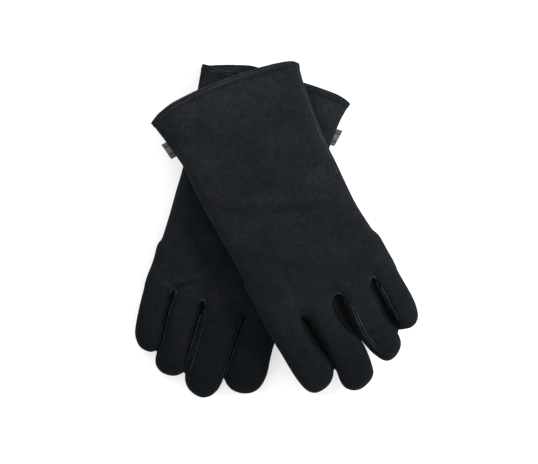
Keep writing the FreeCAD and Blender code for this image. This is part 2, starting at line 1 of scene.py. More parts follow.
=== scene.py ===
import bpy
import bmesh
import json
import math
import numpy as np
import openvdb as vdb
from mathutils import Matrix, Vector
from mathutils.bvhtree import BVHTree

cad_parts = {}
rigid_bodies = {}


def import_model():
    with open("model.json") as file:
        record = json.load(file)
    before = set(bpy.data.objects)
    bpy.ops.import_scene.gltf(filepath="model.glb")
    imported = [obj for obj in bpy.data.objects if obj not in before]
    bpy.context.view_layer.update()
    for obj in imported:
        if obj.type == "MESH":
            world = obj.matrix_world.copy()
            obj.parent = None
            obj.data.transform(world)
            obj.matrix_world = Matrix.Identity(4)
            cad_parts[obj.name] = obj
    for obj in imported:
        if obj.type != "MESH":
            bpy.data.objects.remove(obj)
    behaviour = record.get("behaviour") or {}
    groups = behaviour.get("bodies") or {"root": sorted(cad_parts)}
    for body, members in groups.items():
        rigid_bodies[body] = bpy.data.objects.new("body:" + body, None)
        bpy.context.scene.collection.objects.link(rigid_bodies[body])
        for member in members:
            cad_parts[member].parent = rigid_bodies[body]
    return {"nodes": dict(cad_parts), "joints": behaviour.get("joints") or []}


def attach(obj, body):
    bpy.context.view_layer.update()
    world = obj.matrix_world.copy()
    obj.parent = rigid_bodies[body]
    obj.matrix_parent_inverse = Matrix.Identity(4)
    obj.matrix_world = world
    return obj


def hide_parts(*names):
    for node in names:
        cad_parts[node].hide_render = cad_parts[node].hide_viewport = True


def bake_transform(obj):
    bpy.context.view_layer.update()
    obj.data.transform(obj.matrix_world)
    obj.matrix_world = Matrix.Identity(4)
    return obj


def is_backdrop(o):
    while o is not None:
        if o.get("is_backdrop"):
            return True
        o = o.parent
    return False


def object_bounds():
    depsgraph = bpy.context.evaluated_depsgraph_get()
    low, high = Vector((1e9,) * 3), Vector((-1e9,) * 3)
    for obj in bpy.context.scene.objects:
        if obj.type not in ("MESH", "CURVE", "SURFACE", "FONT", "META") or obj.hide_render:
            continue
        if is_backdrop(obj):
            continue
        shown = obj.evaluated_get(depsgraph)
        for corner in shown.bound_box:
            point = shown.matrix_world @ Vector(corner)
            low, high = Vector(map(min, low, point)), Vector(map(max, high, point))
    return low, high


for _o in list(bpy.data.objects):
    bpy.data.objects.remove(_o, do_unlink=True)
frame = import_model()
CAD_BOX = [[float(x) for x in p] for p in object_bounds()]
JOINT = {j["name"]: j for j in frame["joints"]}
MM = 0.001

# ---------------------------------------------------------------- glove frames
# u runs from the cuff mouth to the fingertips, v is positive to the thumb side.
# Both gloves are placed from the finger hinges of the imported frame.
HINGE = {
    "right": {"index": (269.1, 55.3), "middle": (268.3, 13.7), "ring": (267.0, -26.1), "little": (269.9, -57.5)},
    "left": {"index": (267.0, 54.5), "middle": (271.2, 16.0), "ring": (272.5, -26.6), "little": (273.7, -60.2)},
}
SIGN = {"right": 1.0, "left": -1.0}
FINGERS = ["index", "middle", "ring", "little"]


def joint_mm(name):
    return np.array(JOINT[name]["pos_m"], float) / MM


PLACE = {}
for side in ("right", "left"):
    m = SIGN[side]
    p1, p2 = joint_mm(side + "_index_bend"), joint_mm(side + "_little_bend")
    a1 = np.array(HINGE[side]["index"]) * [1, m]
    a2 = np.array(HINGE[side]["little"]) * [1, m]
    dw, dl = p2 - p1, a2 - a1
    ang = math.atan2(dw[1], dw[0]) - math.atan2(dl[1], dl[0])
    c, s = math.cos(ang), math.sin(ang)
    origin = p1[:2] - np.array([c * a1[0] - s * a1[1], s * a1[0] + c * a1[1]])
    PLACE[side] = (origin, ang, m, float(p1[2]))


def world_xy(side, u, v):
    o, ang, m, _ = PLACE[side]
    c, s = math.cos(ang), math.sin(ang)
    return o[0] + c * u - s * m * v, o[1] + s * u + c * m * v


def ss(x):
    x = np.clip(x, 0.0, 1.0)
    return x * x * (3 - 2 * x)


def table(x, rows):
    # smooth interpolation through (x, y) rows
    xs = np.array([r[0] for r in rows], float)
    ys = np.array([r[1] for r in rows], float)
    d = np.diff(ys) / np.diff(xs)
    t = np.zeros(len(xs))
    for i in range(1, len(xs) - 1):
        if d[i - 1] * d[i] > 0:
            w1 = 2 * (xs[i + 1] - xs[i]) + (xs[i] - xs[i - 1])
            w2 = (xs[i + 1] - xs[i]) + 2 * (xs[i] - xs[i - 1])
            t[i] = (w1 + w2) / (w1 / d[i - 1] + w2 / d[i])
    t[0], t[-1] = d[0], d[-1]
    x = np.clip(np.asarray(x, float), xs[0], xs[-1])
    k = np.clip(np.searchsorted(xs, x, side="right") - 1, 0, len(xs) - 2)
    h = xs[k + 1] - xs[k]
    q = (x - xs[k]) / h
    return ((1 + 2 * q) * (1 - q) ** 2 * ys[k] + q * (1 - q) ** 2 * h * t[k]
            + q * q * (3 - 2 * q) * ys[k + 1] + q * q * (q - 1) * h * t[k + 1])


# ---------------------------------------------------------------- the shapes
SHAPE = {
    "right": {
        "hem": [(-95, 2.8), (-78, 2.8), (-69.7, 2.6), (-47.5, 0.6), (-24.4, -7.0), (0, -8.8), (24.1, -9.2),
                (49.3, -8.4), (60.7, -7.6), (72.7, -4.9), (78.3, -2.5), (95, 3.5)],
        "hand": [(-40, 88), (-16, 82.5), (-2.5, 78.3), (14.1, 74.2), (25.3, 72.6), (48.2, 70.5), (66, 71.6),
                 (86.3, 73.5), (128.6, 73.0), (163.1, 72.0), (202.2, 73.0), (226, 73.8), (240, 73.6), (249, 66),
                 (250, 55), (247, 44), (243.5, 37.0), (247, 26), (250.5, 13), (247, 0), (242, -10.5), (246, -20),
                 (248, -27), (245, -36), (241, -44.0), (244, -52), (246, -60), (244, -68), (236, -72.4),
                 (213.4, -70.8), (171.4, -69.5), (136.5, -69.9), (110.3, -70.0), (70, -73.2), (28.5, -76.5),
                 (10.9, -78.3), (2.8, -78.4), (-16, -79.6), (-40, -82)],
        "index": [(205.3, 38.9), (242.1, 38.4), (247.6, 37.8), (260.5, 36.8), (277.5, 35.2), (296.6, 34.2),
                  (307.4, 34.1), (312.7, 34.5), (317.9, 38.4), (321.7, 45.1), (322.5, 53.5), (321.1, 60.1),
                  (318.0, 66.2), (311.7, 71.3), (301.6, 74.2), (291.0, 74.5), (281.8, 73.6), (268.1, 72.9),
                  (254.3, 73.6), (239.8, 74.0), (204.1, 72.5)],
        "middle": [(201.6, -8.2), (240.8, -7.6), (251.7, -7.5), (267, -7.3), (283.4, -7.4), (306.8, -7.4),
                   (317.2, -6.8), (326.0, -5.1), (333.6, 0.7), (337.9, 10.1), (338.0, 18.3), (333.5, 25.2),
                   (326.5, 28.9), (315.5, 31.2), (300.7, 31.0), (283.1, 31.4), (265.4, 32.0), (248.6, 33.0),
                   (241.2, 33.7), (204.4, 34.3)],
        "ring": [(202.1, -39.7), (239.3, -39.9), (253.4, -41.4), (269.9, -41.6), (285.5, -40.2), (296.7, -39.4),
                 (305.0, -41.4), (312.9, -41.4), (320.2, -38.4), (325.1, -30.8), (325.5, -21.6), (322.8, -14.6),
                 (317.5, -10.4), (309.5, -10.4), (295.5, -11.4), (272.7, -12.8), (261.1, -12.8), (247.0, -13.2),
                 (240.2, -13.2), (201.0, -13.8)],
        "little": [(194.6, -70.4), (213.4, -70.8), (228.9, -72.0), (248.0, -73.4), (272.1, -72.3),
                   (289.1, -70.5), (297.7, -67.6), (305.1, -61.4), (307.6, -53.6), (307.0, -48.0),
                   (303.2, -45.6), (296.6, -43.0), (286.4, -42.6), (276.8, -43.9), (265.0, -45.5),
                   (249.6, -46.6), (240.0, -46.1), (202.8, -46.1)],
        "mid": [(-20, 12.6), (18, 12.5), (50, 12.6), (80, 13.2), (116, 21.4), (160, 22.0), (204, 21.9), (236, 20.9),
                (267, 19.6), (300, 15.0), (345, 11.2)],
        "half": [(-20, 11.6), (18, 11.6), (60, 12.0), (116, 12.7), (170, 13.0), (215, 12.8), (250, 11.8)],
        "sag": 0.6, "seed": 3,
    },
    "left": {
        "hem": [(-95, 14.0), (-81.9, 8.2), (-78.0, 4.0), (-65.1, -1.3), (-49.8, -5.2), (-26.2, -9.9), (-3.4, -13.0),
                (22.9, -15.7), (48.8, -16.2), (69.6, -13.2), (81.7, -8.3), (95, -3.0)],
        "hand": [(-40, 92), (-20, 85.5), (-8.3, 81.7), (0.4, 80.1), (15.5, 77.4), (36.5, 74.4), (52, 73.0),
                 (86.3, 74.6), (128.6, 73.5), (163.1, 72.2), (202.2, 72.7), (233.5, 73.2), (242, 73.2), (249, 66),
                 (250, 55), (247, 45), (243.5, 38.0), (248, 27), (251, 17), (247, 6), (239.5, -4.5), (246, -17),
                 (250, -27), (247, -37), (243, -46.0), (246, -53), (248, -60), (246, -67), (239, -71.6),
                 (222.7, -71.4), (192, -68.4), (161.9, -66.2), (118.4, -68.0), (100.9, -68.4), (74.4, -70.7),
                 (56.5, -73.0), (40.7, -75.3), (27.3, -77.3), (8.2, -81.9), (-16, -88), (-40, -94)],
        "index": [(185.3, 71.8), (216.9, 72.4), (252.9, 74.4), (267.9, 73.6), (291.6, 72.5), (307.3, 70.3),
                  (316.2, 67.1), (320.9, 61.8), (322.0, 54.6), (320.1, 45.8), (315.1, 38.6), (308.4, 34.6),
                  (300.8, 33.9), (292.0, 35.2), (282.4, 38.1), (269.6, 39.8), (258.1, 39.6), (248.9, 39.8),
                  (241.8, 39.7), (186.2, 37.3)],
        "middle": [(191.9, 32.0), (241.6, 33.2), (254.5, 31.7), (268.1, 30.6), (284.1, 29.9), (298.0, 30.4),
                   (311.2, 30.9), (323.0, 32.4), (331.3, 31.0), (337.5, 25.2), (339.8, 16.9), (337.0, 6.0),
                   (331.3, -1.2), (321.6, -3.8), (311.3, -5.2), (301.6, -5.8), (293.5, -5.2), (285.0, -2.2),
                   (277.0, 1.4), (267.6, 3.5), (255.4, 3.8), (244.0, 2.9), (237.1, 2.4), (199.1, 0.2)],
        "ring": [(208.7, -9.0), (246.1, -10.1), (256, -9.0), (266.2, -7.8), (278, -6.8), (291.5, -6.8),
                 (307.8, -10.3), (320.0, -14.9), (326.0, -19.8), (327.2, -26.0), (324.6, -33.2), (319.7, -39.3),
                 (313.5, -42.2), (304.6, -42.6), (290.9, -40.2), (276.3, -39.7), (262.3, -40.4), (248.5, -41.3),
                 (241.5, -42.1), (205.7, -43.8)],
        "little": [(203.7, -51.3), (242.2, -49.3), (258.0, -49.0), (270.1, -49.2), (284.5, -49.0),
                   (296.2, -49.1), (303.4, -51.5), (306.7, -57.8), (304.9, -65.0), (300.0, -69.9),
                   (291.0, -72.8), (278.6, -73.9), (260.0, -73.2), (239.8, -72.1), (223.8, -71.4), (202.9, -70.1)],
        "mid": [(-20, 39.0), (18, 39.4), (50, 47.4), (85, 50.0), (116, 57.4), (160, 58.2), (204, 57.4), (236, 51.6),
                (267, 46.8), (300, 38.2), (345, 25.8)],
        "half": [(-20, 11.6), (18, 11.6), (60, 12.0), (116, 12.7), (170, 13.0), (215, 12.8), (250, 11.8)],
        "sag": 1.2, "seed": 8,
    },
}
HALF_FINGER = {"index": (11.4, 15.0), "middle": (11.4, 15.0), "ring": (11.0, 13.8), "little": (10.4, 12.2)}
CUT_U = 246.0       # the fingers' pieces start here, just past the crotches
HEM = 6.0           # width of the folded hem band
STRIP = 6.6         # half height of the strips between the fingers
STRIP_END = {"index": 12.0, "middle": 12.0, "ring": 12.0, "little": 5.5}     # they stop this far before the tip
LEATHER = 1.4
OUT = 0.85          # how far the leather's outer face lies outside the implicit form
POWER = 2.35


def smooth_closed(pts, n=4):
    p = np.array(pts, float)
    out = []
    for i in range(len(p)):
        a, b, c, d = p[i - 1], p[i], p[(i + 1) % len(p)], p[(i + 2) % len(p)]
        for k in range(n):
            t = k / n
            out.append(0.5 * ((2 * b) + (c - a) * t + (2 * a - 5 * b + 4 * c - d) * t * t
                              + (3 * b - a - 3 * c + d) * t ** 3))
    return np.array(out)


def smooth_open(pts, n=6):
    p = np.array(pts, float)
    p = np.vstack([2 * p[0] - p[1], p, 2 * p[-1] - p[-2]])
    out = []
    for i in range(1, len(p) - 2):
        a, b, c, d = p[i - 1], p[i], p[i + 1], p[i + 2]
        for k in range(n):
            t = k / n
            out.append(0.5 * ((2 * b) + (c - a) * t + (2 * a - 5 * b + 4 * c - d) * t * t
                              + (3 * b - a - 3 * c + d) * t ** 3))
    out.append(p[-2])
    return np.array(out)


def inside_distance(poly, x, y):
    # signed distance to a closed outline, positive inside
    shape = x.shape
    px, py = x.ravel(), y.ravel()
    best = np.full(px.shape, 1e9)
    inside = np.zeros(px.shape, bool)
    n = len(poly)
    for i in range(n):
        ax, ay = poly[i]
        bx, by = poly[(i + 1) % n]
        dx, dy = bx - ax, by - ay
        ll = dx * dx + dy * dy
        if ll < 1e-12:
            continue
        t = np.clip(((px - ax) * dx + (py - ay) * dy) / ll, 0, 1)
        best = np.minimum(best, (px - ax - t * dx) ** 2 + (py - ay - t * dy) ** 2)
        if (ay > by) or (ay < by):
            cross = (ay > py) != (by > py)
            xi = ax + (py - ay) * dx / dy
            inside ^= cross & (px < xi)
    d = np.sqrt(best)
    return np.where(inside, d, -d).reshape(shape)


def smin(a, b, k):
    h = np.clip(0.5 + 0.5 * (b - a) / k, 0, 1)
    return b * (1 - h) + a * h - k * h * (1 - h)


POLY = {s: {k: smooth_closed(SHAPE[s][k], 4) for k in ["hand"] + FINGERS} for s in SHAPE}
GRID_U = 1.7
GRID_V = 1.5
GRID_Z = 1.3


def real_u(side, up, v):
    return up + table(v, SHAPE[side]["hem"]) * (1 - ss(up / 140.0))


def pillow(d, r, h, z):
    return (((np.clip(r - d, 0, None) * h / r) ** POWER) + np.abs(z) ** POWER) ** (1 / POWER) - h


# how far the line where two neighbouring fingers touch lies from the middle of their gap:
# above 0 the first finger's side strip is the wider one
LEAN = {
    "left": {("index", "middle"): -0.6, ("middle", "ring"): -1.0, ("ring", "little"): -1.6},
    "right": {("index", "middle"): 0.6, ("middle", "ring"): 1.8, ("ring", "little"): -0.6},
}
REACH = 12.5
# where each slit opens to the outside at its far end, (u, v)
NOTCH = {
    "left": {("index", "middle"): 308.4, ("middle", "ring"): 292.9, ("ring", "little"): 304.7},
    "right": {("index", "middle"): 312.2, ("middle", "ring"): 318.4, ("ring", "little"): 305.1},
}


def glove_fields(side, gu, gv, gz):
    # the implicit form of the whole glove, and of each finger on its own
    up, v = np.meshgrid(gu, gv, indexing="ij")
    u = real_u(side, up, v)
    z = gz[None, None, :]
    dh = inside_distance(POLY[side]["hand"], u, v)
    hh = table(u, SHAPE[side]["half"])
    rr = 13.0 + 5.0 * ss((u - 60.0) / 120.0)
    hand = pillow(dh[:, :, None], rr[:, :, None], hh[:, :, None], z)
    dist = {n: inside_distance(POLY[side][n], u, v) for n in FINGERS}
    wall = {n: np.full(u.shape, -30.0) for n in FINGERS}
    near = {n: np.zeros(u.shape) for n in FINGERS}
    for (a, b), lean in LEAN[side].items():
        da, db = dist[a], dist[b]
        c = (db - da) / 2 - lean
        c = np.where(db > 0, np.maximum(c, db), c)
        c = np.where(da > 0, np.minimum(c, -da), c)
        wall[a] = np.maximum(wall[a], c - 0.3)
        wall[b] = np.maximum(wall[b], -c - 0.3)
        close = ss((da + db + 17.0) / 4.0) * (1 - ss((u - NOTCH[side][(a, b)] + 7.0) / 9.0))
        close = close * (np.minimum(da, db) < 0.0) + close * (np.minimum(da, db) >= 0.0)
        near[a] = np.maximum(near[a], close * (db > -13.5))
        near[b] = np.maximum(near[b], close * (da > -13.5))
    fade = 1 - ss((gz + (3.0 if side == "left" else 0.5)) / 6.5)
    alone, union = {}, None
    for n in FINGERS:
        h, r = HALF_FINGER[n]
        d = dist[n][:, :, None] + REACH * near[n][:, :, None] * fade[None, None, :]
        g = pillow(d, r, h, z)
        g = np.maximum(g, wall[n][:, :, None])
        union = g if union is None else np.minimum(union, g)
        alone[n] = np.maximum(smin(hand, g, 5.0), wall[n][:, :, None])
    return smin(hand, union, 5.0), alone


def surface(field, gu, gv, gz, iso):
    grid = vdb.FloatGrid(20.0)
    grid.copyFromArray(np.ascontiguousarray(np.clip(field - iso, -20, 20).astype(np.float32)))
    p, q = grid.convertToQuads(0.0)
    p = np.asarray(p, float)
    out = np.empty_like(p)
    for k, g in enumerate((gu, gv, gz)):
        out[:, k] = np.interp(p[:, k], np.arange(len(g)), g)
    return out, np.asarray(q, int)


def bump_field(side, u, v):
    # slow uneven fullness of stuffed leather, in mm
    rng = np.random.default_rng(SHAPE[side]["seed"])
    out = np.zeros_like(u)
    for wave, amp, n in ((110.0, 0.55, 5), (55.0, 0.34, 7), (26.0, 0.12, 8)):
        for _ in range(n):
            a = rng.uniform(0, 2 * math.pi)
            ph = rng.uniform(0, 2 * math.pi)
            w = wave * rng.uniform(0.8, 1.25)
            out += amp / math.sqrt(n) * 1.4 * np.sin(2 * math.pi * (u * math.cos(a) + v * math.sin(a)) / w + ph)
    return out


CREASES = {
    # polyline in glove coordinates, depth mm, half width mm
    "left": [([(98, 60), (103, 28), (106, -6), (104, -38), (99, -62)], 1.6, 7.0),
             ([(112, 66), (118, 40), (121, 14)], 0.6, 6.0),
             ([(228, 62), (233, 50), (232, 38)], 0.5, 4.0)],
    "right": [([(229, -10), (235, -20), (237, -32), (235, -44), (228, -56)], 3.0, 5.0),
              ([(221, -18), (226, -32), (222, -46)], 1.8, 5.0),
              ([(104, -64), (110, -40), (112, -12)], 0.8, 7.0),
              ([(224, 30), (229, 16), (226, 2)], 0.5, 4.0)],
}


def crease_field(side, u, v):
    out = np.zeros_like(u)
    for pts, depth, width in CREASES[side]:
        line = smooth_open(pts, 5)
        best = np.full(u.shape, 1e9)
        for a, b in zip(line[:-1], line[1:]):
            d = b - a
            t = np.clip(((u - a[0]) * d[0] + (v - a[1]) * d[1]) / (d @ d), 0, 1)
            best = np.minimum(best, (u - a[0] - t * d[0]) ** 2 + (v - a[1] - t * d[1]) ** 2)
        # fades out towards its two ends
        e = np.minimum(np.hypot(u - line[0][0], v - line[0][1]), np.hypot(u - line[-1][0], v - line[-1][1]))
        out -= depth * np.exp(-best / (2 * (width / 2) ** 2)) * ss(e / 18.0)
        out += 0.35 * depth * np.exp(-best / (2 * (width * 1.25) ** 2)) * ss(e / 18.0)
    return out


MOUTH_LOWER = [(-95, 0.0), (-86, 0.3), (-79.2, 1.8), (-72.6, 2.6), (-65.4, 5.1), (-55.6, 7.6), (-49.5, 8.6), (-43.5, 9.0),
               (-37.3, 8.2), (-26.4, 5.4), (-19.1, 4.0), (-10, 2.2), (4, 0.3), (14, 0.0), (95, 0.0)]
MOUTH_UPPER = [(-95, 0.0), (-82, 0.0), (-74, 0.3), (-67.8, 1.2), (-60.5, 3.2), (-49.5, 5.2), (-40, 5.8), (-27, 3.8),
               (-15, 1.5), (0, 0.0), (95, 0.0)]


def place(side, p):
    # flat glove coordinates (u', v, z') to world mm
    up, v, z = p[:, 0], p[:, 1], p[:, 2]
    u = real_u(side, up, v)
    if side == "right":
        # the lower layer of the cuff stands a little further out than the upper one
        near_mouth = 1 - ss(up / 60.0)
        u = u - table(v, MOUTH_LOWER) * near_mouth * ss(0.5 - z / 10.0)
        u = u - table(v, MOUTH_UPPER) * near_mouth * ss(0.5 + z / 10.0)
        v = v - 2.3 * (1 - ss((up - 18) / 40.0)) * ss((-v - 55) / 24.0)
    h = table(u, SHAPE[side]["half"])
    mid = table(u, SHAPE[side]["mid"])
    share = np.clip(z / h, -1.2, 1.2)
    swell = bump_field(side, u, v) + crease_field(side, u, v)
    edge = ss((np.abs(share) - 0.15) / 0.7)
    crown = (0.9 if side == "left" else 0.25) * (1 - (v / 76.0) ** 2)
    zz = mid + z + np.where(share > 0, edge * (swell + crown), -edge * (0.5 * swell * ss((u - 110) / 60)))
    zz = zz - SHAPE[side]["sag"] * (v / 76.0) ** 2 * ss((u - 90) / 60.0)
    floor = 1.5 if side == "right" else -99
    zz = np.where(zz < floor + 1.2, floor + 1.2 * np.exp((np.minimum(zz, floor + 1.2) - floor - 1.2) / 1.2), zz)
    x, y = world_xy(side, u, v)
    return np.stack([x, y, zz], 1)


# ---------------------------------------------------------------- mesh helpers


def to_bmesh(points, quads):
    me = bpy.data.meshes.new("scratch")
    me.from_pydata(points.tolist(), [], quads.tolist())
    bm = bmesh.new()
    bm.from_mesh(me)
    bpy.data.meshes.remove(me)
    return bm


def slice_at(bm, co, no, keep_positive_only=False, test=None):
    geom = bm.verts[:] + bm.edges[:] + bm.faces[:]
    if test is not None:
        faces = [f for f in bm.faces if test(f.calc_center_median())]
        es = {e for f in faces for e in f.edges}
        vs = {v for f in faces for v in f.verts}
        geom = list(vs) + list(es) + faces
    bmesh.ops.bisect_plane(bm, geom=geom, dist=0.02, plane_co=co, plane_no=no,
                           clear_inner=keep_positive_only)


def read(bm):
    bm.verts.ensure_lookup_table()
    bm.verts.index_update()
    pts = np.array([v.co[:] for v in bm.verts], float)
    faces = [[v.index for v in f.verts] for f in bm.faces]
    return pts, faces


def read_sided(bm, side):
    # the left glove is the right one's mirror image, so its faces are wound the other way
    pts, faces = read(bm)
    bm.free()
    if SIGN[side] < 0:
        faces = [list(reversed(f)) for f in faces]
    return pts, faces


def vertex_normals(pts, faces):
    n = np.zeros_like(pts)
    for f in faces:
        a = pts[f]
        c = a.mean(0)
        r = a - c
        k = np.cross(r, np.roll(r, -1, axis=0)).sum(0)
        n[f] += k
    l = np.linalg.norm(n, axis=1)
    l[l < 1e-12] = 1
    return n / l[:, None]


def build_object(name, pts, faces, normals, rest=None):
    # pts in mm
    me = bpy.data.meshes.new(name)
    me.from_pydata((pts * MM).tolist(), [], [list(map(int, f)) for f in faces])
    me.validate(clean_customdata=False)
    me.update()
    me.polygons.foreach_set("use_smooth", np.ones(len(me.polygons), bool))
    at = me.attributes.new("rest_place", "FLOAT_VECTOR", "POINT")
    src = (pts if rest is None else rest) * MM
    at.data.foreach_set("vector", src.astype(np.float32).ravel())
    if normals is not None:
        me.normals_split_custom_set_from_vertices(normals.tolist())
    ob = bpy.data.objects.new(name, me)
    bpy.context.scene.collection.objects.link(ob)
    return ob


def thick_sheet(pts, faces, normals, out, thick):
    # closed sheet: outer skin moved out along the normals, inner skin thick below it
    used = np.unique(np.concatenate([np.asarray(f) for f in faces]))
    remap = -np.ones(len(pts), int)
    remap[used] = np.arange(len(used))
    p, n = pts[used], normals[used]
    f = [[int(remap[i]) for i in face] for face in faces]
    k = len(p)
    outer = p + n * out
    inner = outer - n * thick
    edges = {}
    for face in f:
        for i, a in enumerate(face):
            b = face[(i + 1) % len(face)]
            edges[(a, b)] = edges.get((a, b), 0) + 1
    rim = []
    for (a, b) in edges:
        if (b, a) not in edges:
            rim.append([b, a, a + k, b + k])
    allf = f + [[i + k for i in reversed(face)] for face in f] + rim
    allp = np.vstack([outer, inner])
    alln = np.vstack([n, -n])
    return allp, allf, alln


def merge_parts(parts):
    pts, faces, nor, off = [], [], [], 0
    for p, f, n in parts:
        pts.append(p)
        nor.append(n)
        faces += [[int(i) + off for i in face] for face in f]
        off += len(p)
    return np.vstack(pts), faces, np.vstack(nor)


def tube(path, radius, sides=8, taper=True, squash=1.0, up=None):
    # a round cord along a path, in mm, closed at both ends
    path = np.asarray(path, float)
    n = len(path)
    tang = np.gradient(path, axis=0)
    tang /= np.linalg.norm(tang, axis=1)[:, None]
    upv = np.array([0, 0, 1.0]) if up is None else None
    pts, nor, faces = [], [], []
    for i in range(n):
        u0 = upv if up is None else up[i]
        sd = np.cross(tang[i], u0)
        sd /= np.linalg.norm(sd)
        uu = np.cross(sd, tang[i])
        k = 1.0
        if taper:
            e = min(i, n - 1 - i)
            k = math.sin(math.pi / 2 * min(1.0, (e + 0.35) / 2.2))
        for j in range(sides):
            a = 2 * math.pi * j / sides
            d = sd * math.cos(a) + uu * math.sin(a) * squash
            pts.append(path[i] + d * radius * k)
            nor.append(d / np.linalg.norm(d))
    for i in range(n - 1):
        for j in range(sides):
            a, b = i * sides + j, i * sides + (j + 1) % sides
            faces.append([a, a + sides, b + sides, b])
    faces.append(list(range(sides)))
    faces.append([(n - 1) * sides + j for j in reversed(range(sides))])
    return np.array(pts), faces, np.array(nor)


def even(path, step):
    path = np.asarray(path, float)
    seg = np.linalg.norm(np.diff(path, axis=0), axis=1)
    s = np.concatenate([[0], np.cumsum(seg)])
    n = max(2, int(round(s[-1] / step)) + 1)
    t = np.linspace(0, s[-1], n)
    return np.stack([np.interp(t, s, path[:, k]) for k in range(path.shape[1])], 1)


class Skin:
    # drops points on to the glove's upper or lower surface
    def __init__(self, pts, faces):
        self.tree = BVHTree.FromPolygons([Vector(p) for p in pts], faces, all_triangles=False)

    def drop(self, x, y, top=True, lift=0.0):
        o = Vector((x, y, 400.0 if top else -400.0))
        hit, nor, _, _ = self.tree.ray_cast(o, Vector((0, 0, -1.0 if top else 1.0)))
        if hit is None:
            return None, None
        nor = nor if (nor.z > 0) == top else -nor
        return np.array(hit) + np.array(nor) * lift, np.array(nor)

    def line(self, side, uv, top=True, lift=0.0):
        pts, nor = [], []
        for u, v in uv:
            x, y = world_xy(side, u, v)
            p, n = self.drop(x, y, top, lift)
            if p is not None:
                pts.append(p)
                nor.append(n)
        return np.array(pts), np.array(nor)


# ---------------------------------------------------------------- materials


def shade(mat):
    mat.use_nodes = True
    nt = mat.node_tree
    for n in list(nt.nodes):
        nt.nodes.remove(n)
    out = nt.nodes.new("ShaderNodeOutputMaterial")
    bs = nt.nodes.new("ShaderNodeBsdfPrincipled")
    nt.links.new(bs.outputs[0], out.inputs[0])
    return nt, bs


def coords(nt, attribute=True):
    if attribute:
        a = nt.nodes.new("ShaderNodeAttribute")
        a.attribute_name = "rest_place"
        return a.outputs["Vector"]
    c = nt.nodes.new("ShaderNodeTexCoord")
    return c.outputs["Object"]


def noise(nt, vec, scale, detail=4.0, rough=0.55, dist=0.0):
    n = nt.nodes.new("ShaderNodeTexNoise")
    n.inputs["Scale"].default_value = scale
    n.inputs["Detail"].default_value = detail
    n.inputs["Roughness"].default_value = rough
    n.inputs["Distortion"].default_value = dist
    nt.links.new(vec, n.inputs["Vector"])
    return n.outputs["Fac"]


def ramp(nt, fac, stops):
    r = nt.nodes.new("ShaderNodeValToRGB")
    el = r.color_ramp.elements
    while len(el) < len(stops):
        el.new(0.5)
    for e, (pos, col) in zip(el, stops):
        e.position = pos
        e.color = (col[0], col[1], col[2], 1.0)
    nt.links.new(fac, r.inputs[0])
    return r.outputs[0]


def mix(nt, fac, a, b, mode="MIX"):
    m = nt.nodes.new("ShaderNodeMix")
    m.data_type = "RGBA"
    m.blend_type = mode
    m.clamp_result = False
    if isinstance(fac, float):
        m.inputs[0].default_value = fac
    else:
        nt.links.new(fac, m.inputs[0])
    for sock, val in ((m.inputs[6], a), (m.inputs[7], b)):
        if isinstance(val, tuple):
            sock.default_value = (val[0], val[1], val[2], 1.0)
        else:
            nt.links.new(val, sock)
    return m.outputs[2]


def mathn(nt, op, a, b=None, clamp=False):
    m = nt.nodes.new("ShaderNodeMath")
    m.operation = op
    m.use_clamp = clamp
    for i, val in enumerate((a, b)):
        if val is None:
            continue
        if isinstance(val, (int, float)):
            m.inputs[i].default_value = float(val)
        else:
            nt.links.new(val, m.inputs[i])
    return m.outputs[0]


def bumpn(nt, height, strength, dist, prev=None):
    b = nt.nodes.new("ShaderNodeBump")
    b.inputs["Strength"].default_value = strength
    b.inputs["Distance"].default_value = dist
    nt.links.new(height, b.inputs["Height"])
    if prev is not None:
        nt.links.new(prev, b.inputs["Normal"])
    return b.outputs[0]


def vecn(nt, op, a, b=None):
    m = nt.nodes.new("ShaderNodeVectorMath")
    m.operation = op
    for i, val in enumerate((a, b)):
        if val is None:
            continue
        if isinstance(val, tuple):
            m.inputs[i].default_value = val
        else:
            nt.links.new(val, m.inputs[i])
    return m


def painted_light_line(nt, vec, col, a, b, width, tint):
    # a soft line of painted light from a to b (metres, seen from above): a tint under 1 paints shade, a tint over 1
    # paints a highlight
    flat = vecn(nt, "MULTIPLY", vec, (1.0, 1.0, 0.0)).outputs[0]
    ab = (b[0] - a[0], b[1] - a[1], 0.0)
    rel = vecn(nt, "SUBTRACT", flat, (a[0], a[1], 0.0)).outputs[0]
    t = mathn(nt, "DIVIDE", vecn(nt, "DOT_PRODUCT", rel, ab).outputs["Value"], ab[0] ** 2 + ab[1] ** 2, True)
    sc = nt.nodes.new("ShaderNodeVectorMath")
    sc.operation = "SCALE"
    sc.inputs[0].default_value = ab
    nt.links.new(t, sc.inputs["Scale"])
    d = vecn(nt, "DISTANCE", rel, sc.outputs[0]).outputs["Value"]
    d = mathn(nt, "DIVIDE", d, width)
    return mix(nt, 1.0, col, ramp(nt, d, [(0.0, tint), (0.25, tuple(0.75 * x + 0.25 for x in tint)),
                                          (1.0, (1.0, 1.0, 1.0))]), "MULTIPLY")
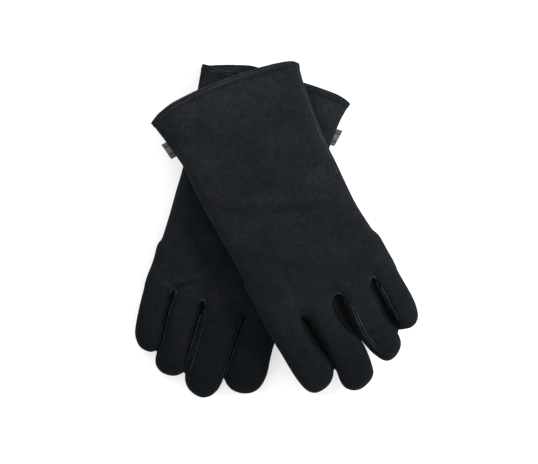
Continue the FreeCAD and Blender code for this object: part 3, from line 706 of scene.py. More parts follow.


# painted shade and highlights, as lines seen from above (a, b in metres, width, tint): crease shadows with highlights
# beside them on the right glove, a shaded crease with a highlight beside it across the left glove's wrist, and painted
# light on the cuffs, lifting their shaded parts
PAINTED_LIGHT_LINES = [((-0.1032, -0.0608), (-0.0969, -0.0580), 0.0032, (0.40, 0.40, 0.42)),
         ((-0.0969, -0.0580), (-0.0906, -0.0561), 0.0034, (0.50, 0.50, 0.52)),
         ((-0.0906, -0.0561), (-0.0832, -0.0556), 0.0040, (0.66, 0.66, 0.68)),
         ((-0.1020, -0.0636), (-0.0890, -0.0600), 0.0026, (1.5, 1.5, 1.5)),
         ((-0.1180, -0.0576), (-0.1060, -0.0612), 0.0030, (1.6, 1.6, 1.6)),
         ((-0.1150, -0.0620), (-0.1090, -0.0645), 0.0034, (0.55, 0.55, 0.57)),
         ((-0.1150, -0.0530), (-0.0760, -0.0470), 0.0100, (1.25, 1.25, 1.27)),
         ((-0.0540, 0.0190), (0.0560, 0.0250), 0.0075, (0.80, 0.80, 0.81)),
         ((-0.0500, 0.0280), (0.0560, 0.0345), 0.0085, (1.16, 1.16, 1.16)),
         ((0.0560, 0.1370), (0.0600, 0.1230), 0.0250, (1.60, 1.60, 1.62)),
         ((-0.0748, 0.1545), (-0.0390, 0.1660), 0.0120, (1.45, 1.45, 1.46)),
         ((-0.0960, 0.1240), (0.0200, 0.1530), 0.0270, (1.32, 1.31, 1.32))]


def suede(name, gain=1.0, warm=0.0, attribute=True, wear_and_highlight_patches=0.0, painted_lines=False, slit_shade=False):
    mat = bpy.data.materials.new(name)
    nt, bs = shade(mat)
    vec = coords(nt, attribute)
    broad = noise(nt, vec, 16.0, 5.0, 0.6, 0.6)
    patch = noise(nt, vec, 48.0, 4.0, 0.6, 0.4)
    grain = noise(nt, vec, 900.0, 3.0, 0.7)
    nap = noise(nt, vec, 260.0, 4.0, 0.65, 0.8)
    def c(r, g, b):
        return (r * gain * (1 + 0.30 * warm), g * gain * (1 + 0.06 * warm), b * gain * (1 - 0.10 * warm))
    base = ramp(nt, broad, [(0.30, c(0.0050, 0.0068, 0.0084)), (0.50, c(0.0088, 0.0106, 0.0128)),
                            (0.70, c(0.0134, 0.0152, 0.0176))])
    tone = ramp(nt, patch, [(0.32, c(0.0042, 0.0082, 0.0100)), (0.46, c(0.0084, 0.0112, 0.0132)),
                            (0.58, c(0.0108, 0.0116, 0.0142)), (0.70, c(0.0176, 0.0150, 0.0186))])
    col = mix(nt, 0.55, base, tone)
    speck = ramp(nt, nap, [(0.30, (0.55, 0.55, 0.55)), (0.52, (1.0, 1.0, 1.0)), (0.76, (1.55, 1.55, 1.55))])
    col = mix(nt, 0.8, col, speck, "MULTIPLY")
    if attribute:
        # painted shade: the suede grows darker the lower its surface lies; it is also darker towards the fingertips
        # (-y)
        sep = nt.nodes.new("ShaderNodeSeparateXYZ")
        nt.links.new(vec, sep.inputs[0])
        lower_and_tipward_darkening = mathn(nt, "ADD", sep.outputs["Y"], mathn(nt, "MULTIPLY", sep.outputs["Z"], 1.2))
        lower_and_tipward_darkening = mathn(nt, "MULTIPLY", mathn(nt, "ADD", lower_and_tipward_darkening, 0.16), 2.5)
        col = mix(nt, 1.0, col, ramp(nt, lower_and_tipward_darkening, [(0.0, (0.34, 0.44, 0.48)), (0.15, (0.48, 0.57, 0.61)), (0.26, (0.67, 0.76, 0.79)),
                                               (0.38, (0.90, 0.95, 0.97)), (0.55, (1.05, 1.08, 1.08)), (0.75, (1.20, 1.24, 1.25)),
                                               (1.0, (1.26, 1.32, 1.34))]), "MULTIPLY")
    if slit_shade:
        # painted shade: inside a slit between two fingers the side strip is darkened almost to black
        slit_shade_attr = nt.nodes.new("ShaderNodeAttribute")
        slit_shade_attr.attribute_name = "slit_shade"
        col = mix(nt, 1.0, col, ramp(nt, slit_shade_attr.outputs["Fac"], [(0.0, (1.0, 1.0, 1.0)), (1.0, (0.17, 0.17, 0.175))]), "MULTIPLY")
    # painted crease shadows and highlights, laid on along lines seen from above
    if attribute and painted_lines:
        for a, b, width, tint in PAINTED_LIGHT_LINES:
            col = painted_light_line(nt, vec, col, a, b, width, tint)
    # patchy brighter and darker stretches: partly worn edges, partly uneven painted highlight
    if wear_and_highlight_patches:
        wear_and_highlight_noise = noise(nt, vec, 75.0, 3.0, 0.6, 0.5)
        col = mix(nt, wear_and_highlight_patches, col, ramp(nt, wear_and_highlight_noise, [(0.34, (0.30, 0.30, 0.31)), (0.5, (0.85, 0.85, 0.85)), (0.68, (1.6, 1.6, 1.55))]), "MULTIPLY")
    nt.links.new(col, bs.inputs["Base Color"])
    bs.inputs["Roughness"].default_value = 0.93
    bs.inputs["Specular IOR Level"].default_value = 0.12
    bs.inputs["Sheen Weight"].default_value = 0.02
    bs.inputs["Sheen Roughness"].default_value = 0.45
    bs.inputs["Sheen Tint"].default_value = (0.75, 0.85, 1.0, 1.0)
    b1 = bumpn(nt, nap, 0.55, 0.0005)
    b2 = bumpn(nt, grain, 0.5, 0.00018, b1)
    b3 = bumpn(nt, patch, 0.35, 0.0012, b2)
    nt.links.new(b3, bs.inputs["Normal"])
    return mat


def knit(name, color, scale=700.0):
    mat = bpy.data.materials.new(name)
    nt, bs = shade(mat)
    vec = coords(nt)
    w = nt.nodes.new("ShaderNodeTexWave")
    w.inputs["Scale"].default_value = scale
    w.inputs["Distortion"].default_value = 1.2
    w.inputs["Detail"].default_value = 2.0
    nt.links.new(vec, w.inputs["Vector"])
    v2 = nt.nodes.new("ShaderNodeTexVoronoi")
    v2.inputs["Scale"].default_value = scale * 0.8
    nt.links.new(vec, v2.inputs["Vector"])
    h = mathn(nt, "ADD", w.outputs["Fac"], v2.outputs["Distance"])
    pile = noise(nt, vec, 60.0, 4.0)
    c = tuple(color)
    col = ramp(nt, h, [(0.2, tuple(x * 0.6 for x in c)), (0.9, tuple(x * 1.25 for x in c))])
    shadec = ramp(nt, pile, [(0.3, (0.75, 0.75, 0.75)), (0.7, (1.15, 1.15, 1.15))])
    col = mix(nt, 1.0, col, shadec, "MULTIPLY")
    nt.links.new(col, bs.inputs["Base Color"])
    bs.inputs["Roughness"].default_value = 0.95
    bs.inputs["Sheen Weight"].default_value = 0.01
    bs.inputs["Specular IOR Level"].default_value = 0.1
    nt.links.new(bumpn(nt, h, 0.7, 0.0004), bs.inputs["Normal"])
    return mat


def thread_mat(name, color):
    mat = bpy.data.materials.new(name)
    nt, bs = shade(mat)
    vec = coords(nt)
    w = nt.nodes.new("ShaderNodeTexWave")
    w.bands_direction = "DIAGONAL"
    w.inputs["Scale"].default_value = 900.0
    nt.links.new(vec, w.inputs["Vector"])
    col = ramp(nt, w.outputs["Fac"], [(0.1, tuple(x * 0.55 for x in color)), (0.9, tuple(x * 1.3 for x in color))])
    nt.links.new(col, bs.inputs["Base Color"])
    bs.inputs["Roughness"].default_value = 0.85
    bs.inputs["Specular IOR Level"].default_value = 0.1
    nt.links.new(bumpn(nt, w.outputs["Fac"], 0.6, 0.0002), bs.inputs["Normal"])
    return mat


def label_mat(name):
    # woven tape with plain bands across it
    mat = bpy.data.materials.new(name)
    nt, bs = shade(mat)
    vec = coords(nt, False)
    uv = nt.nodes.new("ShaderNodeAttribute")
    uv.attribute_name = "band"
    band = ramp(nt, uv.outputs["Fac"], [(0.0, (0.030, 0.031, 0.037)), (0.12, (0.150, 0.160, 0.168)),
                                        (0.24, (0.034, 0.035, 0.042)), (0.34, (0.180, 0.190, 0.198)),
                                        (0.62, (0.160, 0.168, 0.178)), (0.72, (0.034, 0.035, 0.042)),
                                        (0.84, (0.150, 0.158, 0.168)), (1.0, (0.03, 0.031, 0.037))])
    w = nt.nodes.new("ShaderNodeTexWave")
    w.inputs["Scale"].default_value = 1300.0
    nt.links.new(vec, w.inputs["Vector"])
    col = mix(nt, 0.5, band, ramp(nt, w.outputs["Fac"], [(0.0, (0.6, 0.6, 0.6)), (1.0, (1.2, 1.2, 1.2))]), "MULTIPLY")
    nt.links.new(col, bs.inputs["Base Color"])
    bs.inputs["Roughness"].default_value = 0.7
    nt.links.new(bumpn(nt, w.outputs["Fac"], 0.5, 0.0002), bs.inputs["Normal"])
    return mat


# the main suede, carrying the painted crease shadows and highlights
SUEDE = suede("suede_charcoal", painted_lines=True)
# lighter copies of the suede for raised seam cords, hem lines, crotch arcs and the side seams: painted highlight on
# those ridges in a bright, a dim and a tan strength, with some worn-edge lightness
HIGHLIGHT_SUEDE_BRIGHT = suede("seam_highlight", 3.0, 0.2, wear_and_highlight_patches=0.7)
HIGHLIGHT_SUEDE_DIM = suede("suede_seam_dim", 1.25, 0.35, wear_and_highlight_patches=0.4)
HIGHLIGHT_SUEDE_TAN = suede("tan_highlight", 2.1, 0.9, wear_and_highlight_patches=0.4)
# the side strips' suede, with painted shade darkening it deep in the slits
SLIT_SHADED_SUEDE = suede("strip_slit_shaded", 1.0, 0.1, slit_shade=True)
LINING = knit("lining_cloth_dark", (0.0052, 0.0058, 0.0070))
THREAD = thread_mat("thread_dark", (0.0075, 0.0085, 0.0100))
LABEL = label_mat("woven_tape")


def dress(ob, mats):
    for m in (mats if isinstance(mats, list) else [mats]):
        ob.data.materials.append(m)


# ---------------------------------------------------------------- build gloves
GU = np.concatenate([np.arange(-7.0, 8.0, 1.0), np.arange(8.0, 345.0, GRID_U)])
GV = np.arange(-93.0, 93.0, GRID_V)
GZ = np.arange(-17.5, 17.6, GRID_Z)

CROTCH = {
    "left": {("index", "middle"): (242.3, 36.6), ("middle", "ring"): (240.2, -4.0), ("ring", "little"): (241.5, -45.9)},
    "right": {("index", "middle"): (242.1, 36.2), ("middle", "ring"): (240.5, -10.6), ("ring", "little"): (239.0, -43.2)},
}
# seam ridges along a finger's inner sides: (finger, side towards the thumb?, mm in from the edge, bright?; the painted
# highlight the cord wears: True bright, False dim, 3 tan)
RIDGES = {
    "left": [("index", False, 0.4, False, 3), ("middle", True, 0.2, False, 3),
             ("middle", False, -1.8, False, 5), ("ring", True, 7.8, True, 19), ("ring", True, 5.3, True, 17),
             ("ring", True, 0.6, False, 3),
             ("ring", False, 0.8, False, 3), ("little", True, -0.2, True, 3), ("little", True, 2.2, True, 12)],
    "right": [("index", False, 0.6, True, 3), ("middle", True, 0.4, True, 6),
              ("middle", True, 3.0, False, 3), ("middle", False, 2.0, True, 3), ("middle", False, 4.6, True, 12),
              ("middle", False, -1.2, 3, 14),
              ("ring", True, 0.6, False, 3), ("ring", False, 1.0, True, 3), ("little", True, 0.8, False, 9)],
}


def blend_finger(ob):
    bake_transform(ob)


def centre_v(side, name, u):
    # middle line of a finger across the glove, the same along its whole length
    p = POLY[side][name]
    lo, hi = p[:, 1].min(), p[:, 1].max()
    return 0.5 * (lo + hi)


def strip_side(name, positive):
    return positive in {"index": (False,), "middle": (False, True), "ring": (False, True), "little": (True,)}[name]


def classify_all(side, cen):
    # which CAD node each face stands for; cen = face centres (u', v, z')
    u, v, z = cen[:, 0], cen[:, 1], cen[:, 2]
    dist = np.stack([inside_distance(POLY[side][n], u, v) for n in FINGERS])
    nearest = dist.argmax(0)
    mids = np.stack([np.interp(u, MIDLINE[side][n][:, 0], MIDLINE[side][n][:, 1]) for n in FINGERS])
    out = []
    for i in range(len(u)):
        if u[i] < HEM:
            out.append(side + "_cuff_hem")
            continue
        if u[i] > CUT_U:
            k = int(nearest[i])
            name = FINGERS[k]
            if abs(z[i]) < STRIP and u[i] < TIP[side][name] - STRIP_END[name] and strip_side(name, v[i] > mids[k, i]):
                out.append("%s_%s_fourchette" % (side, name))
            else:
                out.append("%s_%s_%s" % (side, name, "back" if z[i] > 0 else "palm"))
            continue
        key = side + ("_back_panel" if z[i] > 0 else "_palm_panel")
        if u[i] > 233.0 and abs(z[i]) < STRIP:
            for (a, b), (cu, cv) in CROTCH[side].items():
                if abs(v[i] - cv) < 13.0:
                    key = "%s_%s_%s_fourchette" % (side, a, b)
        out.append(key)
    return out


MIDV, MIDLINE, TIP = {}, {}, {}
for side in SHAPE:
    MIDV[side], MIDLINE[side], TIP[side] = {}, {}, {}
    for n in FINGERS:
        p = POLY[side][n]
        TIP[side][n] = float(p[:, 0].max())
        rows = []
        for uu in np.arange(215, p[:, 0].max() - 3, 6.0):
            vs = []
            for i in range(len(p)):
                a, b = p[i], p[(i + 1) % len(p)]
                if (a[0] - uu) * (b[0] - uu) < 0:
                    t = (uu - a[0]) / (b[0] - a[0])
                    vs.append(a[1] + t * (b[1] - a[1]))
            if len(vs) >= 2:
                rows.append((uu, 0.5 * (min(vs) + max(vs))))
        MIDLINE[side][n] = np.array(rows)
        MIDV[side][n] = float(np.mean([r[1] for r in rows]))

def edge_v(side, name, uu, thumb_side):
    p = POLY[side][name]
    vs = []
    for i in range(len(p)):
        a, b = p[i], p[(i + 1) % len(p)]
        if (a[0] - uu) * (b[0] - uu) < 0:
            t = (uu - a[0]) / (b[0] - a[0])
            vs.append(a[1] + t * (b[1] - a[1]))
    return max(vs) if thumb_side else min(vs)


PIECES = {}


def add_piece(name, pts, faces, nor, mats):
    ob = build_object(name, pts, faces, nor)
    dress(ob, mats)
    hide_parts(name)
    PIECES[name] = ob
    return ob


def relax(pts, faces, rounds):
    n = len(pts)
    e = np.array([(f[i], f[(i + 1) % len(f)]) for f in faces for i in range(len(f))])
    for _ in range(rounds):
        acc = np.zeros_like(pts)
        cnt = np.zeros(n)
        np.add.at(acc, e[:, 0], pts[e[:, 1]])
        np.add.at(acc, e[:, 1], pts[e[:, 0]])
        np.add.at(cnt, e[:, 0], 1)
        np.add.at(cnt, e[:, 1], 1)
        pts = 0.5 * pts + 0.5 * acc / cnt[:, None]
    return pts


def cut_strips(bm, low, high):
    for zz in (STRIP, -STRIP):
        slice_at(bm, (0, 0, zz), (0, 0, 1), test=lambda c: low < c.x < high)


def build_glove(side):
    whole, alone = glove_fields(side, GU, GV, GZ)
    # the hand and cuff, up to the cut across the finger roots
    flat, quads = surface(whole, GU, GV, GZ, 0.0)
    flat = relax(flat, quads, 2)
    bm = to_bmesh(flat, quads)
    slice_at(bm, (0, 0, 0), (1, 0, 0), keep_positive_only=True)
    slice_at(bm, (HEM, 0, 0), (1, 0, 0))
    slice_at(bm, (CUT_U, 0, 0), (1, 0, 0))
    slice_at(bm, (0, 0, 0), (0, 0, 1))
    cut_strips(bm, 228.0, 400.0)
    slice_at(bm, (233.0, 0, 0), (1, 0, 0), test=lambda c: abs(c.z) < STRIP and 229.0 < c.x < 237.0)
    fpts, faces = read_sided(bm, side)
    pts = place(side, fpts)
    nor = vertex_normals(pts, faces)
    cen = np.array([fpts[f].mean(0) for f in faces])
    groups = {}
    for f, key, c in zip(faces, classify_all(side, cen), cen):
        if c[0] < CUT_U:
            groups.setdefault(key, []).append(f)
    sheets = {}
    for name, fs in groups.items():
        if name.endswith("cuff_hem"):
            sheets[name] = thick_sheet(pts, fs, nor, 1.45, 3.4)
        else:
            sheets[name] = thick_sheet(pts, fs, nor, OUT, LEATHER)
    # each finger on its own, so that its sides are closed where it touches its neighbours
    iu = int(np.searchsorted(GU, 224.0))
    shell_pts, shell_faces = [pts], [f for f, c in zip(faces, cen) if c[0] < CUT_U]
    off = len(pts)
    for name in FINGERS:
        p2 = POLY[side][name]
        lo = max(0, int(np.searchsorted(GV, p2[:, 1].min() - 9.0)))
        hi = min(len(GV), int(np.searchsorted(GV, p2[:, 1].max() + 9.0)) + 1)
        flat, quads = surface(alone[name][iu:, lo:hi, :], GU[iu:], GV[lo:hi], GZ, 0.0)
        flat = relax(flat, quads, 2)
        bm = to_bmesh(flat, quads)
        slice_at(bm, (CUT_U, 0, 0), (1, 0, 0))
        slice_at(bm, (0, 0, 0), (0, 0, 1))
        cut_strips(bm, 228.0, 400.0)
        qf, qfaces = read_sided(bm, side)
        qp = place(side, qf)
        qn = vertex_normals(qp, qfaces)
        qc = np.array([qf[f].mean(0) for f in qfaces])
        mid = np.interp(qc[:, 0], MIDLINE[side][name][:, 0], MIDLINE[side][name][:, 1])
        keep = {}
        for f, c, m0 in zip(qfaces, qc, mid):
            if c[0] < CUT_U:
                continue
            if abs(c[2]) < STRIP and c[0] < TIP[side][name] - STRIP_END[name] and strip_side(name, c[1] > m0):
                key = "fourchette"
            else:
                key = "back" if c[2] > 0 else "palm"
            keep.setdefault(key, []).append(f)
            shell_faces.append([i + off for i in f])
        shell_pts.append(qp)
        off += len(qp)
        for key, fs in keep.items():
            sheets["%s_%s_%s" % (side, name, key)] = thick_sheet(qp, fs, qn, OUT, LEATHER)
    skin = Skin(np.vstack(shell_pts), shell_faces)

    cords = {}

    # bright picks the cord's painted highlight material: True bright, False dim, 3 tan
    def cord(uv, radius, bright, keyfn):
        uv = even(uv, 1.2)
        keys = [keyfn(u, v) for u, v in uv]
        start = 0
        for i in range(1, len(uv) + 1):
            if i == len(uv) or keys[i] != keys[start]:
                seg = uv[start:min(i + 1, len(uv))]
                if len(seg) > 4:
                    line, up = skin.line(side, seg, True, OUT + 0.2)
                    if len(line) > 4:
                        line = relax_line(line, 3)
                        cords.setdefault(keys[start], []).append((tube(line, radius, 8), bright if bright > 1 else (1 if bright else 2)))
                start = i

    for name, thumb_side, inset, bright, skip in RIDGES[side]:
        mate = [(a, b) for (a, b) in CROTCH[side] if (b == name if thumb_side else a == name)][0]
        cu = CROTCH[side][mate][0]
        end = min(TIP[side][mate[0]], TIP[side][mate[1]]) - (5.0 if bright else 9.0)
        if bright:
            end = TIP[side][name] - (16.0 if bright == 3 else 10.0)
        path = []
        for uu in np.arange(cu + skip, end, 4.0):
            vv = edge_v(side, name, uu, thumb_side) + (-inset if thumb_side else inset)
            if path and abs(vv - path[-1][1]) > 4.6:
                if len(path) > 6:
                    break
                path = []
            path.append((uu, vv))
        if len(path) < 4:
            print("SHORT", side, name, thumb_side, inset)
            continue
        cord(smooth_open(path, 4), 1.3 if bright == 3 else (0.66 if bright else 0.55), bright,
             lambda u, v, n=name, m=mate: ("%s_%s_fourchette" % (side, n)) if u > CUT_U
             else "%s_%s_%s_fourchette" % (side, m[0], m[1]))
    # raised arcs round the crotches in a painted highlight material: dim between index and middle, bright elsewhere
    for (a, b), (cu, cv) in CROTCH[side].items():
        arc = []
        wide = 6.2 if (side, a) == ("left", "middle") else 4.1
        for k in range(-6, 7):
            t = k / 6 * math.pi * (0.5 if wide > 5 else 0.66)
            arc.append((cu + 1.6 - (3.6 + 0.25 * (wide - 4.1)) * math.cos(t) + 0.5 * math.sin(t), cv + wide * math.sin(t)))
        cord(arc, 0.9 if wide > 5 else 0.78, (a, b) != ("index", "middle"), lambda u, v, a=a, b=b: "%s_%s_%s_fourchette" % (side, a, b))
    # two pressed lines along the hem as raised cords in the bright painted highlight material
    for up, radius, bright, out in ((4.3, 0.5, side == "left", 1.45), (0.9, 0.5, True, 1.45)):
        uv = []
        if side == "right" and up > 2:
            bright = 1
        for v in np.arange(-74.0, 74.1, 1.0):
            uv.append((float(real_u(side, np.array([hem_ridge(side, up, v)]), np.array([v]))[0]), v))
        line, _ = skin.line(side, uv, True, out + 0.1)
        if len(line) > 8:
            cords.setdefault(side + "_cuff_hem", []).append((tube(relax_line(line, 3), radius, 8), 1 if bright else 2))
    for name, part in sheets.items():
        parts = [part]
        kinds = [(len(part[1]), 0)]
        for c, kind in cords.get(name, []):
            parts.append(c)
            kinds.append((len(c[1]), kind))
        p, f, n = merge_parts(parts)
        # the cords wear the painted highlight materials: 1 bright, 2 dim, 3 tan
        mats = [SLIT_SHADED_SUEDE if "fourchette" in name else SUEDE, HIGHLIGHT_SUEDE_BRIGHT, HIGHLIGHT_SUEDE_DIM, HIGHLIGHT_SUEDE_TAN]
        ob = add_piece(name, p, f, n, mats if len(parts) > 1 else mats[:1])
        if "fourchette" in name:
            # painted shade inside the slits, kept per point for the strip material
            slit_shade = slit_shade_mask(side, name, p)
            at = ob.data.attributes.new("slit_shade", "FLOAT", "POINT")
            at.data.foreach_set("value", slit_shade.astype(np.float32))
        if len(parts) > 1:
            idx = np.concatenate([np.full(k, m, np.int32) for k, m in kinds])
            if len(idx) == len(ob.data.polygons):
                ob.data.polygons.foreach_set("material_index", idx)
            else:
                print("FACES", name, len(idx), len(ob.data.polygons))
    # lining: the same form, one leather thickness further in
    gu = np.concatenate([np.arange(-7.0, 8.0, 1.5), np.arange(8.0, 345.0, 2.6)])
    gv = np.arange(-93.0, 93.0, 2.3)
    gz = np.arange(-17.5, 17.6, 1.8)
    flat, quads = surface(glove_fields(side, gu, gv, gz)[0], gu, gv, gz, -2.1)
    flat = relax(flat, quads, 2)
    bm = to_bmesh(flat, quads)
    slice_at(bm, (2.0, 0, 0), (1, 0, 0), keep_positive_only=True)
    slice_at(bm, (95.0, 0, 0), (1, 0, 0))
    slice_at(bm, (CUT_U, 0, 0), (1, 0, 0))
    lflat, lfaces = read_sided(bm, side)
    lpts = place(side, lflat)
    lnor = vertex_normals(lpts, lfaces)
    lgroups = {}
    for f in lfaces:
        c = lflat[f].mean(0)
        if c[0] < 95.0:
            key = side + "_cuff_lining"
        elif c[0] < CUT_U:
            key = side + "_hand_lining"
        else:
            name = min(FINGERS, key=lambda n: abs(c[1] - np.interp(c[0], MIDLINE[side][n][:, 0], MIDLINE[side][n][:, 1])))
            key = "%s_%s_lining" % (side, name)
        lgroups.setdefault(key, []).append(f)
    for name, fs in lgroups.items():
        p, f, n = thick_sheet(lpts, fs, lnor, 0.0, 0.9)
        add_piece(name, p, f, n, LINING)
    return skin


def slit_shade_mask(side, name, pts):
    # painted shade mask: 1 inside the slit between two fingers, 0 where the finger's side is open to the air
    slit_shade = np.ones(len(pts))
    finger = name.split("_")[1]
    if name != "%s_%s_fourchette" % (side, finger):
        return slit_shade
    o, ang, m, _ = PLACE[side]
    c, s = math.cos(ang), math.sin(ang)
    u = (pts[:, 0] - o[0]) * c + (pts[:, 1] - o[1]) * s
    v = m * (-(pts[:, 0] - o[0]) * s + (pts[:, 1] - o[1]) * c)
    line = MIDLINE[side][finger]
    mid = np.interp(u, line[:, 0], line[:, 1])
    for (a, b), notch in NOTCH[side].items():
        if finger in (a, b):
            mine = v < mid if finger == a else v > mid
            slit_shade = np.where(mine, 1 - ss((u - (notch - 13.0)) / 12.0), slit_shade)
    return slit_shade


def relax_line(line, rounds):
    line = line.copy()
    for _ in range(rounds):
        line[1:-1] = 0.5 * line[1:-1] + 0.25 * (line[:-2] + line[2:])
    return line


def stitch(p, d, up, length, radius):
    # one short thread bar, arched a little, sunk at both ends
    n = 7
    t = np.linspace(-1, 1, n)
    path = p[None, :] + d[None, :] * (t * length / 2)[:, None] + up[None, :] * (radius * 0.9 * (1 - t ** 2) - radius * 0.4)[:, None]
    return tube(path, radius, 6, taper=True)


def hem_ridge(side, up, v):
    # how far in from the rim a pressed line of the hem runs
    if up < 2:
        return up
    if side == "left":
        return up + (v - 20) / 60.0
    return 2.2 + 2.0 * float(ss((20 - v) / 60.0))


def hem_stitches(side, skin):
    parts = []
    top = [(v, HEM + 1.9) for v in np.arange(-69.0, 69.1, 0.5)]
    uv = [(float(real_u(side, np.array([up]), np.array([v]))[0]), v) for v, up in top]
    line, nor = skin.line(side, uv, True, OUT + 0.1)
    path = even(line, 0.5)
    step = int(round(4.4 / 0.5))
    for i in range(4, len(path) - 6, step):
        p = path[i]
        d = path[i + 2] - path[i - 2]
        d /= np.linalg.norm(d)
        k = np.argmin(np.linalg.norm(line - p, axis=1))
        parts.append(stitch(p, d, nor[k], 3.0, 0.42))
    p, f, n = merge_parts(parts)
    add_piece(side + "_hem_stitches", p, f, n, THREAD)


def side_label(side):
    # a flat loop of woven tape caught in the side seam, from the CAD label's own box
    node = frame["nodes"][side + "_side_label"]
    co = np.array([v.co[:] for v in node.data.vertices]) / MM
    o, ang, m, _ = PLACE[side]
    c, s = math.cos(ang), math.sin(ang)
    u = (co[:, 0] - o[0]) * c + (co[:, 1] - o[1]) * s
    v = m * (-(co[:, 0] - o[0]) * s + (co[:, 1] - o[1]) * c)
    u0, u1, v0, v1 = u.min(), u.max(), v.min() - 4.8, v.max()
    zc = 0.5 * (co[:, 2].min() + co[:, 2].max())
    half = 0.9
    prof = []
    n = 7
    for i in range(n):
        t = i / (n - 1)
        prof.append((v0 + (v1 - half - v0) * t, half * (0.35 + 0.65 * t ** 0.5)))
    for i in range(1, 8):
        a = math.pi / 2 - math.pi * i / 8
        prof.append((v1 - half + half * math.cos(a), half * math.sin(a)))
    for i in reversed(range(n)):
        t = i / (n - 1)
        prof.append((v0 + (v1 - half - v0) * t, -half * (0.35 + 0.65 * t ** 0.5)))
    rows = 25
    pts, faces, band = [], [], []
    k = len(prof)
    for r in range(rows):
        t = r / (rows - 1)
        uu = u0 + (u1 - u0) * t
        sway = 0.5 * math.sin(t * 5.0)
        for pv, pz in prof:
            x, y = world_xy(side, uu, pv - (0.22 if side == "right" else 0.12) * (uu - 0.5 * (u0 + u1)))
            pts.append((x, y, zc + pz + sway * (pv - v0) / (v1 - v0)))
            band.append(t)
    for r in range(rows - 1):
        for i in range(k - 1):
            a = r * k + i
            faces.append([a, a + 1, a + 1 + k, a + k] if m < 0 else [a, a + k, a + 1 + k, a + 1])
    pts = np.array(pts)
    nor = vertex_normals(pts, faces)
    # outward normals
    cen = pts.mean(0)
    if np.mean(np.einsum("ij,ij->i", nor, pts - cen)) < 0:
        faces = [list(reversed(f)) for f in faces]
        nor = -nor
    p, f, nn = thick_sheet(pts, faces, nor, 0.0, 0.35)
    ob = add_piece(side + "_side_label", p, f, nn, LABEL)
    at = ob.data.attributes.new("band", "FLOAT", "POINT")
    at.data.foreach_set("value", np.array(band + band, np.float32))
    return ob


def seam_line(side, skin, name, uv, radius, body_piece, top=True, lift=0.1, stitches=True):
    line, nor = skin.line(side, even(smooth_open(uv, 6), 1.6), top, OUT + lift)
    line = relax_line(line, 2)
    p, f, n = tube(line, radius, 8)
    parts = [(p, f, n)]
    ob = build_object(name, *merge_parts(parts))
    # the side seam's ridge wears the bright painted highlight material
    dress(ob, HIGHLIGHT_SUEDE_BRIGHT)
    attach(ob, side + "_hand")
    return ob


# thumbs, folded flat under the palms
def thumb_outline():
    return smooth_closed([(-14, 0), (-13.2, -8), (-8, -13.4), (2, -14.6), (18, -14.4), (34, -13.8), (48, -13.0),
                          (57, -10.2), (62.4, -5.4), (63.6, 0), (62.4, 5.4), (57, 10.2), (48, 13.0), (34, 13.8),
                          (18, 14.4), (2, 14.6), (-8, 13.4), (-13.2, 8)], 3)


def build_thumb(side):
    j = JOINT[side + "_thumb_swing"]
    p = np.array(j["pos_m"]) / MM
    o, ang, m, _ = PLACE[side]
    turn = ang - m * math.radians(48.0)
    gx = np.arange(-18, 68, 1.4)
    gy = np.arange(-19, 19.1, 1.4)
    gz = np.arange(-6.3, 6.4, 0.7)
    x, y = np.meshgrid(gx, gy, indexing="ij")
    d = inside_distance(thumb_outline(), x, y)[:, :, None]
    c, s = math.cos(turn), math.sin(turn)

    def put(q):
        w = q.copy()
        puff = 0.28 * np.sin(q[:, 0] * 0.21 + 1.0) * np.cos(q[:, 1] * 0.17)
        w[:, 0] = p[0] + c * q[:, 0] - s * q[:, 1]
        w[:, 1] = p[1] + s * q[:, 0] + c * q[:, 1]
        w[:, 2] = p[2] + q[:, 2] + puff * np.sign(q[:, 2]) * -1.0 * (np.abs(q[:, 2]) > 2)
        return w
    f = pillow(d, 7.5, 3.35 if side == "right" else 3.0, gz[None, None, :])
    flat, quads = surface(f, gx, gy, gz, 0.0)
    flat = relax(flat, quads, 1)
    bm = to_bmesh(flat, quads)
    slice_at(bm, (0, 0, 0), (0, 0, 1))
    fpts, faces = read(bm)
    bm.free()
    pts = put(fpts)
    nor = vertex_normals(pts, faces)
    for name, sign in (("outer", 1), ("inner", -1)):
        fs = [q for q in faces if fpts[q].mean(0)[2] * sign > 0]
        a, b, n = thick_sheet(pts, fs, nor, 0.0, 1.1)
        ob = add_piece("%s_thumb_%s" % (side, name), a, b, n, SUEDE)
        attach(ob, side + "_thumb")
    flat, quads = surface(f, gx, gy, gz, -1.3)
    pts = put(flat)
    faces = [list(q) for q in quads]
    nor = vertex_normals(pts, faces)
    a, b, n = thick_sheet(pts, faces, nor, 0.0, 0.6)
    ob = add_piece(side + "_thumb_lining", a, b, n, LINING)
    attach(ob, side + "_thumb")


for side in ("right", "left"):
    skin = build_glove(side)
    hem_stitches(side, skin)
    side_label(side)
    build_thumb(side)
    if side == "left":
        seam_line(side, skin, "left_side_seam",
                  [(8, -78.6), (27, -74.0), (41, -72.0), (57, -69.9), (75, -67.6), (100, -65.2), (118, -64.7), (140, -63.4)],
                  0.5, None)
    else:
        seam_line(side, skin, "right_side_seam",
                  [(8, -75.4), (28, -73.6), (60, -70.8), (90, -68.6), (115, -67.2)], 0.45, None)

for name, ob in PIECES.items():
    if "thumb" in name:
        continue
    side = name.split("_")[0]
    tail = name[len(side) + 1:].split("_")
    if tail[0] in FINGERS and tail[1] in ("back", "palm", "fourchette", "lining"):
        blend_finger(ob)
    else:
        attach(ob, side + "_hand")

missing = [n for n in frame["nodes"] if n not in PIECES]
if missing:
    raise RuntimeError("nodes with no piece: %s" % missing)

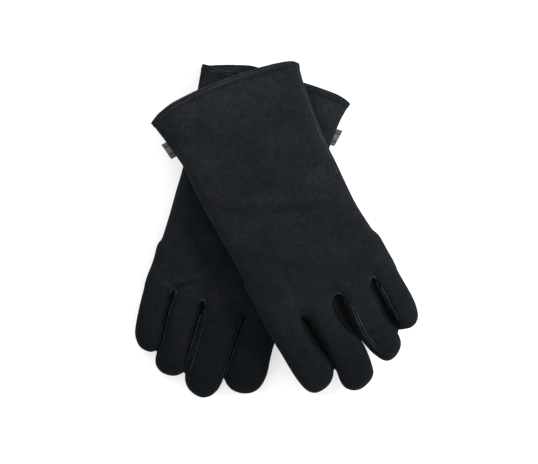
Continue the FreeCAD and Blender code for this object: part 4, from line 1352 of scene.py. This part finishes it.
# ---------------------------------------------------------------- stage
floor_me = bpy.data.meshes.new("floor")
floor_me.from_pydata([(-4, -4, 0), (4, -4, 0), (4, 4, 0), (-4, 4, 0)], [], [[0, 1, 2, 3]])
floor = bpy.data.objects.new("floor", floor_me)
bpy.context.scene.collection.objects.link(floor)
fmat = bpy.data.materials.new("pale_floor")
nt, bs = shade(fmat)
bs.inputs["Base Color"].default_value = (0.93, 0.93, 0.935, 1)
bs.inputs["Roughness"].default_value = 0.9
bs.inputs["Specular IOR Level"].default_value = 0.1
lp = nt.nodes.new("ShaderNodeLightPath")
bs.inputs["Emission Color"].default_value = (1, 1, 1, 1)
nt.links.new(mathn(nt, "MULTIPLY", lp.outputs["Is Camera Ray"], 0.55), bs.inputs["Emission Strength"])
floor.data.materials.append(fmat)
floor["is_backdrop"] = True

world = bpy.data.worlds.new("studio")
bpy.context.scene.world = world
world.use_nodes = True
world.node_tree.nodes["Background"].inputs[0].default_value = (1, 1, 1, 1)
wnt = world.node_tree
wlp = wnt.nodes.new("ShaderNodeLightPath")
wnt.links.new(mathn(wnt, "ADD", mathn(wnt, "MULTIPLY", wlp.outputs["Is Camera Ray"], 0.45), 0.62),
              wnt.nodes["Background"].inputs[1])


def area(name, loc, target, size, power, color=(1, 1, 1)):
    l = bpy.data.lights.new(name, "AREA")
    l.shape = "DISK"
    l.size = size
    l.energy = power
    l.color = color
    o = bpy.data.objects.new(name, l)
    o.location = loc
    d = Vector(target) - Vector(loc)
    o.rotation_euler = d.to_track_quat("-Z", "Y").to_euler()
    bpy.context.scene.collection.objects.link(o)


area("key", (1.3, 0.35, 1.15), (0, 0, 0), 0.6, 20.0)
area("fill", (-0.5, 1.2, 1.9), (0, 0, 0), 1.4, 5.0)

low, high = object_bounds()
centre = (Vector(CAD_BOX[0]) + Vector(CAD_BOX[1])) * 0.5
cam = bpy.data.cameras.new("camera")
cam.sensor_width = 36.0
cam.lens = 191.5
cam.clip_start = 0.1
cam.clip_end = 20.0
camera = bpy.data.objects.new("camera", cam)
bpy.context.scene.collection.objects.link(camera)
camera.location = (centre.x - 0.0076, centre.y - 0.0030, 3.03)
camera.rotation_euler = (0, 0, 0)
bpy.context.scene.camera = camera
bpy.context.scene.view_settings.view_transform = "Standard"
bpy.context.scene.view_settings.look = "None"
